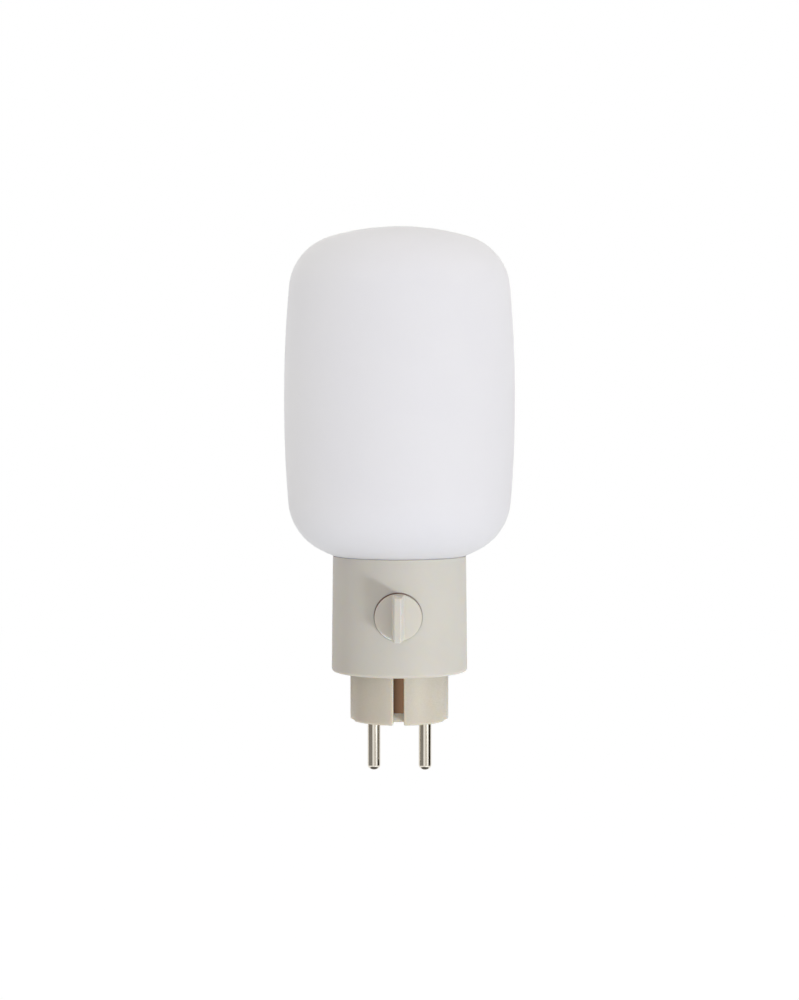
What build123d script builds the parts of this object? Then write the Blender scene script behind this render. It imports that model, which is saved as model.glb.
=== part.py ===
from build123d import *
from math import atan2, degrees, sqrt
import os

# Plug-in lamp: an opal glass shade on a round housing with a rotary dimmer, over a two-pin mains plug.
# Millimetres. The origin is on the plug's face, midway between the pins. +Z is up, the knob faces -Y.

# Mains pins: 4.8 mm round pins, 19 mm apart, 19 mm long, shouldered on the plug's face
PIN_SPACING = 19.0
PIN_D = 4.8
PIN_REACH = 19.0
PIN_TIP_FILLET = 2.0
PIN_ROOT_D = 4.2
PIN_COLLAR_D = 6.6
PIN_COLLAR_BASE = 6.0
PIN_COLLAR_H = 3.0
PIN_BODY_TOP = 15.0
PIN_TAIL_D = 2.6
PIN_TAIL_ABOVE_BOARD = 1.0

# Plug moulding
PLUG_H = 18.1
PLUG_R_FACE = 18.35
PLUG_R_TOP = 18.75
PLUG_FACE_FILLET = 0.8
SLOT_W = 3.8
SLOT_FLOOR_Y = 12.4
SLOT_RAMP = 3.8
SLOT_LIP_FILLET = 0.5
GROOVE_W = 6.0
GROOVE_FLOOR_X = 16.0
RELIEF_DEPTH = 0.35
RELIEF_HALF_W = 8.1
RELIEF_RAISE = 0.7
RELIEF_INNER_X = 14.5
PLUG_WALL = 2.0
PLUG_FACE_T = 4.5
PIN_BOSS_R = 4.6
FLANGE_T = 2.4
FLANGE_INSET = 0.3
BOSS_R = 3.4

# Earth strips on the slot floors, up through the flange and bent over on top of it
EARTH_T = 0.6
EARTH_FIT = 0.1
EARTH_TAB_L = 3.4

# Housing
HOUSING_R = 25.2
HOUSING_DRAFT = 0.5
HOUSING_WALL = 2.2
HOUSING_FOOT_FILLET = 1.2
HOUSING_MOUTH_CHAMFER = 0.3
RIM_FILLET = 0.15
REBATE_STEP = 0.6
DECK_RISE = 32.9
DECK_T = 2.2
POST_R = 3.5
VENT_COUNT = 3
VENT_W = 1.6
VENT_L = 6.0
VENT_RADIUS = 16.0
VENT_SPACING_DEG = 16.0

# Screws
SCREW_INSET = 5.5
SCREW_SHANK_R = 1.45
SCREW_HEAD_R = 2.8
SCREW_HEAD_H = 2.0
SCREW_HEAD_FILLET = 0.5
SCREW_HEAD_SINK = 0.3
SCREW_POINT = 1.5
SCREW_POINT_R = 0.4
SCREW_END_GAP = 0.3
SCREW_RECESS_W = 0.8
SCREW_RECESS_L = 3.2
SCREW_RECESS_DEPTH = 1.1
SCREW_CLEAR = 0.15
HEAD_CLEAR = 0.25
THREAD_GAP = 0.05
PILOT_FLOOR = 1.0

# Circuit board
BOARD_EDGE_GAP = 1.0
BOARD_T = 1.6
BOARD_LIFT = 5.2
BOARD_CLEAR = 0.3
HOLE_CLEAR = 0.15
SOLDER_R = 1.9
SOLDER_H = 0.8

# Knob and potentiometer, measured forward from the lamp's axis
KNOB_DISC_R = 8.5
KNOB_DISC_T = 5.9
KNOB_GAP = 0.35
KNOB_SAG = 0.2
KNOB_EDGE_FILLET = 0.15
KNOB_BAR_W = 4.4
KNOB_BAR_TIP_W = 2.4
KNOB_BAR_INSET = 0.05
KNOB_BAR_REACH = 11.7
KNOB_BAR_FILLET = 0.4
KNOB_SKIRT_T = 1.9
KNOB_FACE_T = 0.9
KNOB_COVER = 1.75
COLLAR_T = 1.6
CONTROL_DEPTH = 7.5
WELL_FLOOR_T = 1.2
POT_R = 8.0
POT_DEPTH = 7.5
POT_WALL = 0.9
POT_CLEAR = 0.3
POT_TRACK_T = 1.2
SHAFT_R = 3.0
SHAFT_FLAT = 1.5
SHAFT_RUN = 0.05
SHAFT_END_GAP = 0.15
BUSH_WALL = 0.5
BUSH_REACH = 3.1
NUT_AF = 10.0
NUT_T = 1.6
WASHER_R = 5.4
WASHER_T = 0.5
WIPER_GAP = 0.7
WIPER_T = 2.0
WIPER_RUN = 0.4
WIPER_ARM_W = 2.4
WIPER_ARM_R = 4.8
TRACK_GAP = 0.3
TERMINAL_PITCH = 5.0
TERMINAL_W = 1.2
TERMINAL_T = 0.4
TERMINAL_DROP = 6.2
TERMINAL_BELOW_BOARD = 0.8
TONGUE_W = 14.0
TONGUE_DROP = 9.6
TONGUE_H = 4.9

# Glass shade: bowl, hip, barrel side, shoulder and dome, with a straight neck
BOWL_RISE = 5.09
SHADE_H = 126.11
SHADE_R = 42.68
WAIST_RISE = 61.91
DOME_R = 90.3
BARREL_R = 466.0
BOWL_R = 63.9
SHOULDER_R = 20.7
HIP_R = 21.5
GLASS_T = 2.5
NECK_ROOM = 4.0
NECK_ROOT_FILLET = 1.2
NECK_END_FILLET = 0.6
RIM_GAP = 0.1

# Silicone sleeve round the neck: lip, ribs and a seat under the bowl
SEAT_GAP = 0.2
SLEEVE_LIP_T = 0.9
SLEEVE_LIP_W = 1.8
SLEEVE_SKIN = 0.9
SLEEVE_FIT = 0.05
RIB_COUNT = 2
RIB_H = 0.9
RIB_FIT = 0.1

# Lamp holder for a two-pin bulb
HOLDER_W = 17.0
HOLDER_D = 9.0
HOLDER_CORNER_R = 3.5
HOLDER_DROP = 11.0
HOLDER_FLANGE_R = 10.5
HOLDER_FLANGE_T = 1.5
HOLDER_CAP_R = 8.5
HOLDER_CAP_H = 2.0
HOLDER_CLEAR = 0.2
HOLDER_EDGE_CHAMFER = 0.4
CLIP_GROOVE = 0.7
CLIP_BORDER = 1.0
CLIP_T = 0.8
CLIP_FIT = 0.1
BULB_PITCH = 9.0
SOCKET_W = 2.6
SOCKET_L = 4.2
SOCKET_DEPTH = 12.0
CONTACT_T = 0.35
CONTACT_W = 3.0
CONTACT_H = 8.5
CONTACT_GRIP = 0.1
TAIL_R = 0.6
TAIL_DROP = 1.0
LEAD_R = 0.95
LEAD_STRIP = 1.0
LEAD_END_R = 0.5
LEAD_BELOW_BOARD = 0.8

# Bulb
BULB_PIN_W = 2.6
BULB_PIN_T = 0.8
BULB_PIN_WIRE = 0.8
BULB_PIN_L = 9.5
BULB_FOOT_W = 13.5
BULB_FOOT_D = 7.0
BULB_FOOT_H = 6.0
BULB_FOOT_R = 2.0
BULB_COLLAR_STEP = 0.2
BULB_COLLAR_H = 4.0
BULB_COLLAR_FILLET = 0.5
BULB_R = 7.8
BULB_H = 42.0
BULB_DOME_FILLET = 7.0
BULB_WALL = 1.0
CARRIER_W = 6.0
CARRIER_H = 33.0
CHIP_W = 3.0
CHIP_H = 3.4
CHIP_T = 0.7
CHIP_COUNT = 4
CHIP_PITCH = 7.0
CHIP_FIRST = 6.0

# Parts on the board. A spot is so far in from the board's edge, in a direction in degrees from +X
CHOKE_R = 4.2
CHOKE_H = 11.0
CHOKE_FLANGE_T = 1.2
CHOKE_CORE_R = 1.8
WINDING_R = 3.9
WINDING_TURNS = 8
WINDING_FLANK = 0.3
CHOKE_EDGE = 1.1
FILTER_SIZE = (9.5, 5.0, 11.0)
FILTER_CORNER_R = 0.7
FILTER_INSET, FILTER_TURN = 6.8, 136.0
TRIAC_W = 10.0
TRIAC_T = 4.4
TRIAC_BODY_H = 9.0
TRIAC_TAB_T = 1.3
TRIAC_TAB_H = 6.0
TRIAC_HOLE_R = 1.8
TRIAC_LEG_W = 0.9
TRIAC_LEG_T = 0.5
TRIAC_LEG_H = 2.5
TRIAC_LEG_PITCH = 2.54
TRIAC_INSET, TRIAC_TURN = 6.6, 44.0
TIMING_SIZE = (7.2, 2.6, 6.5)
TIMING_CORNER_R = 0.65
TIMING_Y = 7.2
WIRE_END_R = 0.3
WIRE_BEND_R = 0.6
FUSE_R = 1.5
FUSE_L = 7.0
FUSE_INSET, FUSE_TURN = 5.2, 238.0
DIAC_R = 0.9
DIAC_L = 3.8
DIAC_INSET, DIAC_TURN = 10.3, 212.0
RESISTOR_R = 1.2
RESISTOR_L = 6.3
RESISTOR_INSETS, RESISTOR_TURNS = (5.7, 2.9), (307.0, 300.0)

# Worked out from the sizes above
HOUSING_BOTTOM = PLUG_H
HOUSING_R_TOP = HOUSING_R - HOUSING_DRAFT
WELL_R = HOUSING_R_TOP - HOUSING_WALL
REBATE_R = WELL_R + REBATE_STEP
FLANGE_BOTTOM = HOUSING_BOTTOM + FLANGE_INSET
FLANGE_TOP = FLANGE_BOTTOM + FLANGE_T
FLANGE_R = REBATE_R - HOLE_CLEAR
BOARD_R = WELL_R - BOARD_EDGE_GAP
BOARD_BOTTOM = FLANGE_TOP + BOARD_LIFT
BOARD_TOP = BOARD_BOTTOM + BOARD_T
DECK_TOP = HOUSING_BOTTOM + DECK_RISE
DECK_BOTTOM = DECK_TOP - DECK_T
BOWL_BOTTOM = DECK_TOP + BOWL_RISE
BOWL_Z = BOWL_BOTTOM + BOWL_R
RIM_TOP = BOWL_Z - sqrt(BOWL_R**2 - HOUSING_R_TOP**2)
PILOT_BOTTOM = FLANGE_BOTTOM + PILOT_FLOOR
HEAD_SEAT = DECK_TOP - SCREW_HEAD_H - SCREW_HEAD_SINK
SCREW_TIP = PILOT_BOTTOM + SCREW_END_GAP
KNOB_FACE = HOUSING_R
KNOB_HOLE_R = KNOB_DISC_R + KNOB_GAP
KNOB_HOLE_Z = DECK_TOP - KNOB_COVER - KNOB_HOLE_R
KNOB_Z = KNOB_HOLE_Z - KNOB_SAG
KNOB_BACK = KNOB_FACE - KNOB_DISC_T
KNOB_BAR_END = sqrt((KNOB_DISC_R - KNOB_EDGE_FILLET - KNOB_BAR_INSET)**2 - (KNOB_BAR_W / 2)**2)
CONTROL_SEAT = KNOB_FACE - CONTROL_DEPTH
WELL_FLOOR = CONTROL_SEAT + WELL_FLOOR_T
BUSH_R = SHAFT_R + BUSH_WALL
BUSH_END = CONTROL_SEAT + BUSH_REACH
SHAFT_END = KNOB_FACE - KNOB_FACE_T - SHAFT_END_GAP
POT_REAR = CONTROL_SEAT - POT_DEPTH
TRACK_FRONT = POT_REAR + POT_TRACK_T
WIPER_R = POT_R - POT_WALL - WIPER_GAP
WIPER_FRONT = CONTROL_SEAT - POT_WALL - WIPER_RUN
WIPER_BACK = WIPER_FRONT - WIPER_T
HOLDER_BOTTOM = DECK_TOP - HOLDER_DROP
HOLDER_TOP = DECK_TOP + HOLDER_FLANGE_T + HOLDER_CAP_H
SOCKET_FLOOR = HOLDER_TOP - SOCKET_DEPTH
BULB_SEAT = HOLDER_TOP + SEAT_GAP
COVER_BASE = BULB_SEAT + BULB_FOOT_H + BULB_COLLAR_H
NECK_R = WELL_R - NECK_ROOM
NECK_BOTTOM = DECK_TOP + SEAT_GAP + SLEEVE_LIP_T
NECK_ROOT_Z = BOWL_Z - sqrt(BOWL_R**2 - NECK_R**2)
SLEEVE_TOP = NECK_ROOT_Z - NECK_ROOT_FILLET - SLEEVE_FIT
TRIAC_BODY_Z = BOARD_TOP + TRIAC_LEG_H
TRIAC_TOP = TRIAC_BODY_Z + TRIAC_BODY_H + TRIAC_TAB_H
OUTSIDE_R = PLUG_R_TOP + PLUG_WALL

STAND = (Align.CENTER, Align.CENTER, Align.MIN)
AXIS_SPOT = ((0, 0),)
PIN_SPOTS = ((-PIN_SPACING / 2, 0), (PIN_SPACING / 2, 0))
SCREW_SPOTS = ((-PIN_SPACING / 2 - SCREW_INSET, 0), (PIN_SPACING / 2 + SCREW_INSET, 0))
SOCKET_SPOTS = ((-BULB_PITCH / 2, 0), (BULB_PITCH / 2, 0))
TERMINAL_SPOTS = [(x, -POT_REAR + TERMINAL_T / 2) for x in (-TERMINAL_PITCH, 0, TERMINAL_PITCH)]
EARTH_SPOTS = ((0, -SLOT_FLOOR_Y - EARTH_T / 2), (0, SLOT_FLOOR_Y + EARTH_T / 2))
# On this plane local z runs forward out of the knob, and local y runs up
KNOB_PLANE = Plane(origin=(0, 0, KNOB_Z), x_dir=(1, 0, 0), z_dir=(0, -1, 0))
# The knob hangs a little low in its hole, so the gap round it is widest at the top
KNOB_HOLE_PLANE = Plane(origin=(0, 0, KNOB_HOLE_Z), x_dir=(1, 0, 0), z_dir=(0, -1, 0))

PIN_STEPS = (
    (PIN_ROOT_D / 2, 0, PIN_BODY_TOP),
    (PIN_COLLAR_D / 2, PIN_COLLAR_BASE, PIN_COLLAR_BASE + PIN_COLLAR_H),
    (PIN_TAIL_D / 2, PIN_BODY_TOP, BOARD_TOP + PIN_TAIL_ABOVE_BOARD),
)


def post(radius, bottom, top, spots=AXIS_SPOT, mode=Mode.ADD):
    """Upright round post, or with Mode.SUBTRACT a round hole, at each spot."""
    with Locations(*[(x, y, bottom) for x, y in spots]):
        Cylinder(radius, top - bottom, align=STAND, mode=mode)


def block(width, depth, bottom, top, spots=AXIS_SPOT, mode=Mode.ADD):
    """Upright block, or with Mode.SUBTRACT a square hole, at each spot."""
    with Locations(*[(x, y, bottom) for x, y in spots]):
        Box(width, depth, top - bottom, align=STAND, mode=mode)


def drum(radius, back, front, mode=Mode.ADD, plane=KNOB_PLANE):
    """Round drum on the knob's axis or its hole's, between two distances from the lamp's axis."""
    with Locations(plane.offset(back)):
        Cylinder(radius, front - back, align=STAND, mode=mode)


def board_spot(inset, turn):
    """Point so far in from the board's edge, in a direction in degrees from +X."""
    spot = Vector(BOARD_R - inset, 0).rotate(Axis.Z, turn)
    return spot.X, spot.Y


def pin_root(grow, spots, mode=Mode.ADD):
    """Turned root of a mains pin, grown by a clearance for the hole that holds it."""
    for radius, bottom, top in PIN_STEPS:
        post(radius + grow, bottom, top, spots, mode)


def holder_section(grow, bottom, top, mode=Mode.ADD):
    """Upright length of the holder's oblong body, grown by a clearance or drawn in for a groove."""
    with BuildSketch(Plane.XY.offset(bottom)) as section:
        RectangleRounded(HOLDER_W + 2 * grow, HOLDER_D + 2 * grow, HOLDER_CORNER_R + grow)
    extrude(section.sketch, amount=top - bottom, mode=mode)


def axial_part(centre, radius, length):
    """Round part lying on the board along X, on one wire bent down to the board at each side."""
    reach = length / 2 + WIRE_BEND_R + WIRE_END_R
    height = BOARD_TOP + radius
    with Locations((*centre, height)):
        Cylinder(radius, length, rotation=(0, 90, 0))
    with BuildLine(Plane.XZ.offset(-centre[1])) as wire:
        FilletPolyline(
            (centre[0] - reach, BOARD_TOP),
            (centre[0] - reach, height),
            (centre[0] + reach, height),
            (centre[0] + reach, BOARD_TOP),
            radius=WIRE_BEND_R,
        )
    with BuildSketch(Plane(origin=wire.line @ 0, z_dir=wire.line % 0)) as wire_end:
        Circle(WIRE_END_R)
    sweep(wire_end.sketch, path=wire.line)


def tangent_centre(first, first_reach, second, second_reach):
    """Centre at the given distances from two others, to the right of the line from first to second."""
    span = second - first
    along = (span.length**2 + first_reach**2 - second_reach**2) / (2 * span.length)
    across = sqrt(first_reach**2 - along**2)
    ahead = span.normalized()
    return first + ahead * along + Vector(ahead.Y, -ahead.X) * across


def heading(start, end):
    """Direction from one point to another, in degrees from +X."""
    return degrees(atan2(end.Y - start.Y, end.X - start.X))


BOWL_CENTRE = Vector(0, BOWL_Z)
BARREL_CENTRE = Vector(SHADE_R - BARREL_R, BOWL_BOTTOM + WAIST_RISE)
DOME_CENTRE = Vector(0, BOWL_BOTTOM + SHADE_H - DOME_R)
HIP_CENTRE = tangent_centre(BARREL_CENTRE, BARREL_R - HIP_R, BOWL_CENTRE, BOWL_R - HIP_R)
SHOULDER_CENTRE = tangent_centre(DOME_CENTRE, DOME_R - SHOULDER_R, BARREL_CENTRE, BARREL_R - SHOULDER_R)


def shade_outline(inset):
    """Right half of the glass body's outline, drawn in by the inset: five arcs that run into each other."""
    arcs = (
        (BOWL_CENTRE, BOWL_R),
        (HIP_CENTRE, HIP_R),
        (BARREL_CENTRE, BARREL_R),
        (SHOULDER_CENTRE, SHOULDER_R),
        (DOME_CENTRE, DOME_R),
    )
    turns = (
        -90,
        heading(BOWL_CENTRE, HIP_CENTRE),
        heading(BARREL_CENTRE, HIP_CENTRE),
        heading(BARREL_CENTRE, SHOULDER_CENTRE),
        heading(DOME_CENTRE, SHOULDER_CENTRE),
        90,
    )
    with BuildSketch() as outline:
        with BuildLine():
            for (centre, radius), start, end in zip(arcs, turns, turns[1:]):
                CenterArc(centre, radius - inset, start, end - start)
            Line((0, BOWL_BOTTOM + SHADE_H - inset), (0, BOWL_BOTTOM + inset))
        make_face()
    return outline.sketch


# Plug moulding: contour body with a cored inside, flange, pin bosses and screw bosses
with BuildPart() as plug_base:
    with BuildSketch(Plane.XZ):
        with BuildLine():
            Polyline(
                (0, 0), (PLUG_R_FACE, 0), (PLUG_R_TOP, FLANGE_BOTTOM), (0, FLANGE_BOTTOM), close=True
            )
        make_face()
    revolve(axis=Axis.Z)
    fillet(plug_base.edges().group_by(Axis.Z)[0], PLUG_FACE_FILLET)
    with BuildSketch():
        Circle(OUTSIDE_R)
        Circle(PLUG_R_TOP - RELIEF_DEPTH, mode=Mode.SUBTRACT)
        Rectangle(2 * OUTSIDE_R, 2 * RELIEF_HALF_W, mode=Mode.INTERSECT)
    extrude(amount=FLANGE_BOTTOM, mode=Mode.SUBTRACT)
    with BuildSketch():
        Rectangle(2 * OUTSIDE_R, 2 * RELIEF_HALF_W)
        Rectangle(2 * RELIEF_INNER_X, 2 * RELIEF_HALF_W, mode=Mode.SUBTRACT)
    extrude(amount=RELIEF_RAISE, mode=Mode.SUBTRACT)
    with BuildSketch():
        Rectangle(2 * OUTSIDE_R, GROOVE_W)
        Rectangle(2 * GROOVE_FLOOR_X, GROOVE_W, mode=Mode.SUBTRACT)
        Rectangle(SLOT_W, 2 * OUTSIDE_R)
        Rectangle(SLOT_W, 2 * SLOT_FLOOR_Y, mode=Mode.SUBTRACT)
    extrude(amount=FLANGE_BOTTOM, mode=Mode.SUBTRACT)
    with BuildSketch(Plane.YZ):
        with BuildLine():
            Polyline(
                (SLOT_FLOOR_Y - SLOT_RAMP, 0), (SLOT_FLOOR_Y, SLOT_RAMP), (SLOT_FLOOR_Y, 0), close=True
            )
        make_face()
        mirror(about=Plane.YZ)
    extrude(amount=SLOT_W / 2, both=True, mode=Mode.SUBTRACT)
    slot_mouths = [
        edge
        for edge in plug_base.edges().filter_by(Axis.Y).group_by(Axis.Z)[0]
        if abs(edge.center().X) < SLOT_W
    ]
    fillet(slot_mouths, SLOT_LIP_FILLET)
    post(FLANGE_R, FLANGE_BOTTOM, FLANGE_TOP)
    with BuildSketch(Plane.XY.offset(PLUG_FACE_T)):
        Circle(PLUG_R_FACE - RELIEF_DEPTH - PLUG_WALL)
        with Locations((GROOVE_FLOOR_X, 0), (-GROOVE_FLOOR_X, 0)):
            Rectangle(2 * PLUG_WALL, GROOVE_W + 2 * PLUG_WALL, mode=Mode.SUBTRACT)
        for side in (-1, 1):
            with Locations((0, side * (SLOT_FLOOR_Y - PLUG_WALL + PLUG_R_TOP / 2))):
                Rectangle(SLOT_W + 2 * PLUG_WALL, PLUG_R_TOP, mode=Mode.SUBTRACT)
        with Locations(*PIN_SPOTS):
            Circle(PIN_BOSS_R, mode=Mode.SUBTRACT)
        with Locations(*SCREW_SPOTS):
            Circle(BOSS_R, mode=Mode.SUBTRACT)
    extrude(amount=FLANGE_TOP - PLUG_FACE_T, mode=Mode.SUBTRACT)
    post(BOSS_R, FLANGE_BOTTOM, BOARD_BOTTOM, SCREW_SPOTS)
    post(SCREW_SHANK_R + THREAD_GAP, PILOT_BOTTOM, BOARD_BOTTOM, SCREW_SPOTS, Mode.SUBTRACT)
    pin_root(THREAD_GAP, PIN_SPOTS, Mode.SUBTRACT)
    block(SLOT_W, EARTH_T + 2 * EARTH_FIT, FLANGE_BOTTOM, FLANGE_TOP, EARTH_SPOTS, Mode.SUBTRACT)

# Mains pins: turned, with a collar locked in the moulding and a tail through the board
pins = {}
for pin_name, pin_spot in (("live_pin", PIN_SPOTS[0]), ("neutral_pin", PIN_SPOTS[1])):
    with BuildPart() as pin:
        post(PIN_D / 2, -PIN_REACH, 0, (pin_spot,))
        fillet(pin.edges().group_by(Axis.Z)[0], PIN_TIP_FILLET)
        pin_root(0, (pin_spot,))
    pins[pin_name] = pin

# Earth strips: flat on the slot floors, with a bent tab that holds each one down on the flange
with BuildPart() as earth_contacts:
    block(SLOT_W - 2 * EARTH_FIT, EARTH_T, SLOT_RAMP + EARTH_FIT, FLANGE_TOP + EARTH_T, EARTH_SPOTS)
    tab_y = SLOT_FLOOR_Y + EARTH_T - EARTH_TAB_L / 2
    block(
        SLOT_W - 2 * EARTH_FIT, EARTH_TAB_L, FLANGE_TOP, FLANGE_TOP + EARTH_T, ((0, -tab_y), (0, tab_y))
    )

# Housing: drafted outside, rim hollowed to follow the glass bowl, deck, posts and knob well
with BuildPart() as base_housing:
    with BuildSketch(Plane.XZ):
        with BuildLine():
            Polyline(
                (0, HOUSING_BOTTOM),
                (HOUSING_R, HOUSING_BOTTOM),
                (HOUSING_R_TOP, RIM_TOP),
                (0, RIM_TOP),
                close=True,
            )
        make_face()
    revolve(axis=Axis.Z)
    with Locations((0, 0, BOWL_Z)):
        Sphere(BOWL_R + RIM_GAP, mode=Mode.SUBTRACT)
    fillet(base_housing.edges().group_by(Axis.Z)[0], HOUSING_FOOT_FILLET)
    fillet(base_housing.edges().filter_by(GeomType.CIRCLE).sort_by(Axis.Z)[-1], RIM_FILLET)
    post(REBATE_R, HOUSING_BOTTOM, FLANGE_TOP, mode=Mode.SUBTRACT)
    chamfer(base_housing.edges().filter_by(GeomType.CIRCLE).group_by(Axis.Z)[0], HOUSING_MOUTH_CHAMFER)
    post(WELL_R, FLANGE_TOP, DECK_BOTTOM, mode=Mode.SUBTRACT)
    drum(KNOB_HOLE_R + COLLAR_T, CONTROL_SEAT, WELL_R, plane=KNOB_HOLE_PLANE)
    post(WELL_R, FLANGE_TOP, BOARD_TOP + BOARD_CLEAR, mode=Mode.SUBTRACT)
    post(WELL_R, DECK_TOP, RIM_TOP, mode=Mode.SUBTRACT)
    post(POST_R, BOARD_TOP, DECK_BOTTOM, SCREW_SPOTS)
    drum(KNOB_HOLE_R, WELL_FLOOR, HOUSING_R, Mode.SUBTRACT, KNOB_HOLE_PLANE)
    drum(BUSH_R + HOLE_CLEAR, CONTROL_SEAT, WELL_FLOOR, Mode.SUBTRACT)
    drum(POT_R + POT_CLEAR, POT_REAR, CONTROL_SEAT, Mode.SUBTRACT)
    post(SCREW_SHANK_R + SCREW_CLEAR, BOARD_TOP, HEAD_SEAT, SCREW_SPOTS, Mode.SUBTRACT)
    post(SCREW_HEAD_R + HEAD_CLEAR, HEAD_SEAT, DECK_TOP, SCREW_SPOTS, Mode.SUBTRACT)
    holder_section(HOLDER_CLEAR, DECK_BOTTOM, DECK_TOP, Mode.SUBTRACT)
    with BuildSketch(Plane.XY.offset(DECK_BOTTOM)):
        with PolarLocations(
            VENT_RADIUS,
            VENT_COUNT,
            start_angle=90 - VENT_SPACING_DEG * (VENT_COUNT - 1) / 2,
            angular_range=VENT_SPACING_DEG * (VENT_COUNT - 1),
            endpoint=True,
        ):
            SlotOverall(VENT_L, VENT_W)
    extrude(amount=DECK_T, mode=Mode.SUBTRACT)

# Two long screws that hold housing, board and plug together
with BuildPart() as assembly_screws:
    with Locations(*[(x, y, SCREW_TIP) for x, y in SCREW_SPOTS]):
        Cone(SCREW_POINT_R, SCREW_SHANK_R, SCREW_POINT, align=STAND)
    post(SCREW_SHANK_R, SCREW_TIP + SCREW_POINT, HEAD_SEAT, SCREW_SPOTS)
    post(SCREW_HEAD_R, HEAD_SEAT, HEAD_SEAT + SCREW_HEAD_H, SCREW_SPOTS)
    fillet(assembly_screws.edges().group_by(Axis.Z)[-1], SCREW_HEAD_FILLET)
    recess_floor = HEAD_SEAT + SCREW_HEAD_H - SCREW_RECESS_DEPTH
    block(SCREW_RECESS_L, SCREW_RECESS_W, recess_floor, DECK_TOP, SCREW_SPOTS, Mode.SUBTRACT)
    block(SCREW_RECESS_W, SCREW_RECESS_L, recess_floor, DECK_TOP, SCREW_SPOTS, Mode.SUBTRACT)

# Circuit board, clamped between the plug's bosses and the housing's posts
with BuildPart() as control_board:
    post(BOARD_R, BOARD_BOTTOM, BOARD_TOP)
    post(PIN_TAIL_D / 2 + HOLE_CLEAR, BOARD_BOTTOM, BOARD_TOP, PIN_SPOTS, Mode.SUBTRACT)
    post(SCREW_SHANK_R + SCREW_CLEAR, BOARD_BOTTOM, BOARD_TOP, SCREW_SPOTS, Mode.SUBTRACT)
    post(LEAD_END_R + HOLE_CLEAR, BOARD_BOTTOM, BOARD_TOP, SOCKET_SPOTS, Mode.SUBTRACT)
    block(
        TERMINAL_W + 2 * HOLE_CLEAR,
        TERMINAL_T + 2 * HOLE_CLEAR,
        BOARD_BOTTOM,
        BOARD_TOP,
        TERMINAL_SPOTS,
        Mode.SUBTRACT,
    )

# Solder on the board round each pin's tail
with BuildPart() as solder_joints:
    with Locations(*[(x, y, BOARD_TOP) for x, y in PIN_SPOTS]):
        Cone(SOLDER_R, PIN_TAIL_D / 2 + HOLE_CLEAR, SOLDER_H, align=STAND)
    post(PIN_TAIL_D / 2, BOARD_TOP, BOARD_TOP + SOLDER_H, PIN_SPOTS, Mode.SUBTRACT)

# Choke: ferrite bobbin with a wound barrel between its flanges
choke_spot = ((0, BOARD_R - CHOKE_EDGE - CHOKE_R),)
choke_top = BOARD_TOP + CHOKE_H
with BuildPart() as choke_core:
    post(CHOKE_R, BOARD_TOP, BOARD_TOP + CHOKE_FLANGE_T, choke_spot)
    post(CHOKE_CORE_R, BOARD_TOP, choke_top, choke_spot)
    post(CHOKE_R, choke_top - CHOKE_FLANGE_T, choke_top, choke_spot)

with BuildPart() as choke_winding:
    turn_h = (CHOKE_H - 2 * CHOKE_FLANGE_T) / WINDING_TURNS
    for turn in range(WINDING_TURNS):
        turn_bottom = BOARD_TOP + CHOKE_FLANGE_T + turn_h * turn
        turn_top = turn_bottom + turn_h
        post(WINDING_R - WINDING_FLANK, turn_bottom, turn_top, choke_spot)
        post(WINDING_R, turn_bottom + WINDING_FLANK / 2, turn_top - WINDING_FLANK / 2, choke_spot)
    post(CHOKE_CORE_R, BOARD_TOP, choke_top, choke_spot, Mode.SUBTRACT)

with BuildPart() as filter_capacitor:
    filter_spot = board_spot(FILTER_INSET, FILTER_TURN)
    block(FILTER_SIZE[0], FILTER_SIZE[1], BOARD_TOP, BOARD_TOP + FILTER_SIZE[2], (filter_spot,))
    fillet(filter_capacitor.edges().filter_by(Axis.Z), FILTER_CORNER_R)

with BuildPart() as triac:
    triac_x, triac_y = board_spot(TRIAC_INSET, TRIAC_TURN)
    tab_back = triac_y + (TRIAC_T - TRIAC_TAB_T) / 2
    block(TRIAC_W, TRIAC_T, TRIAC_BODY_Z, TRIAC_BODY_Z + TRIAC_BODY_H, ((triac_x, triac_y),))
    block(TRIAC_W, TRIAC_TAB_T, TRIAC_BODY_Z, TRIAC_TOP, ((triac_x, tab_back),))
    with Locations((triac_x, tab_back, TRIAC_TOP - TRIAC_TAB_H / 2)):
        Cylinder(TRIAC_HOLE_R, TRIAC_T, rotation=(90, 0, 0), mode=Mode.SUBTRACT)
    for leg in (-1, 0, 1):
        leg_spot = (triac_x + leg * TRIAC_LEG_PITCH, triac_y)
        block(TRIAC_LEG_W, TRIAC_LEG_T, BOARD_TOP, TRIAC_BODY_Z, (leg_spot,))

with BuildPart() as timing_capacitor:
    block(TIMING_SIZE[0], TIMING_SIZE[1], BOARD_TOP, BOARD_TOP + TIMING_SIZE[2], ((0, TIMING_Y),))
    fillet(timing_capacitor.edges().filter_by(Axis.Z), TIMING_CORNER_R)

with BuildPart() as line_fuse:
    axial_part(board_spot(FUSE_INSET, FUSE_TURN), FUSE_R, FUSE_L)

with BuildPart() as diac:
    axial_part(board_spot(DIAC_INSET, DIAC_TURN), DIAC_R, DIAC_L)

with BuildPart() as resistors:
    for inset, turn in zip(RESISTOR_INSETS, RESISTOR_TURNS):
        axial_part(board_spot(inset, turn), RESISTOR_R, RESISTOR_L)

# Potentiometer: cup with a threaded bush, closed at the rear by the track
with BuildPart() as pot_case:
    drum(POT_R, TRACK_FRONT, CONTROL_SEAT)
    drum(BUSH_R, CONTROL_SEAT, BUSH_END)
    drum(POT_R - POT_WALL, TRACK_FRONT, CONTROL_SEAT - POT_WALL, Mode.SUBTRACT)
    drum(SHAFT_R + SHAFT_RUN, CONTROL_SEAT - POT_WALL, BUSH_END, Mode.SUBTRACT)

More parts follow.
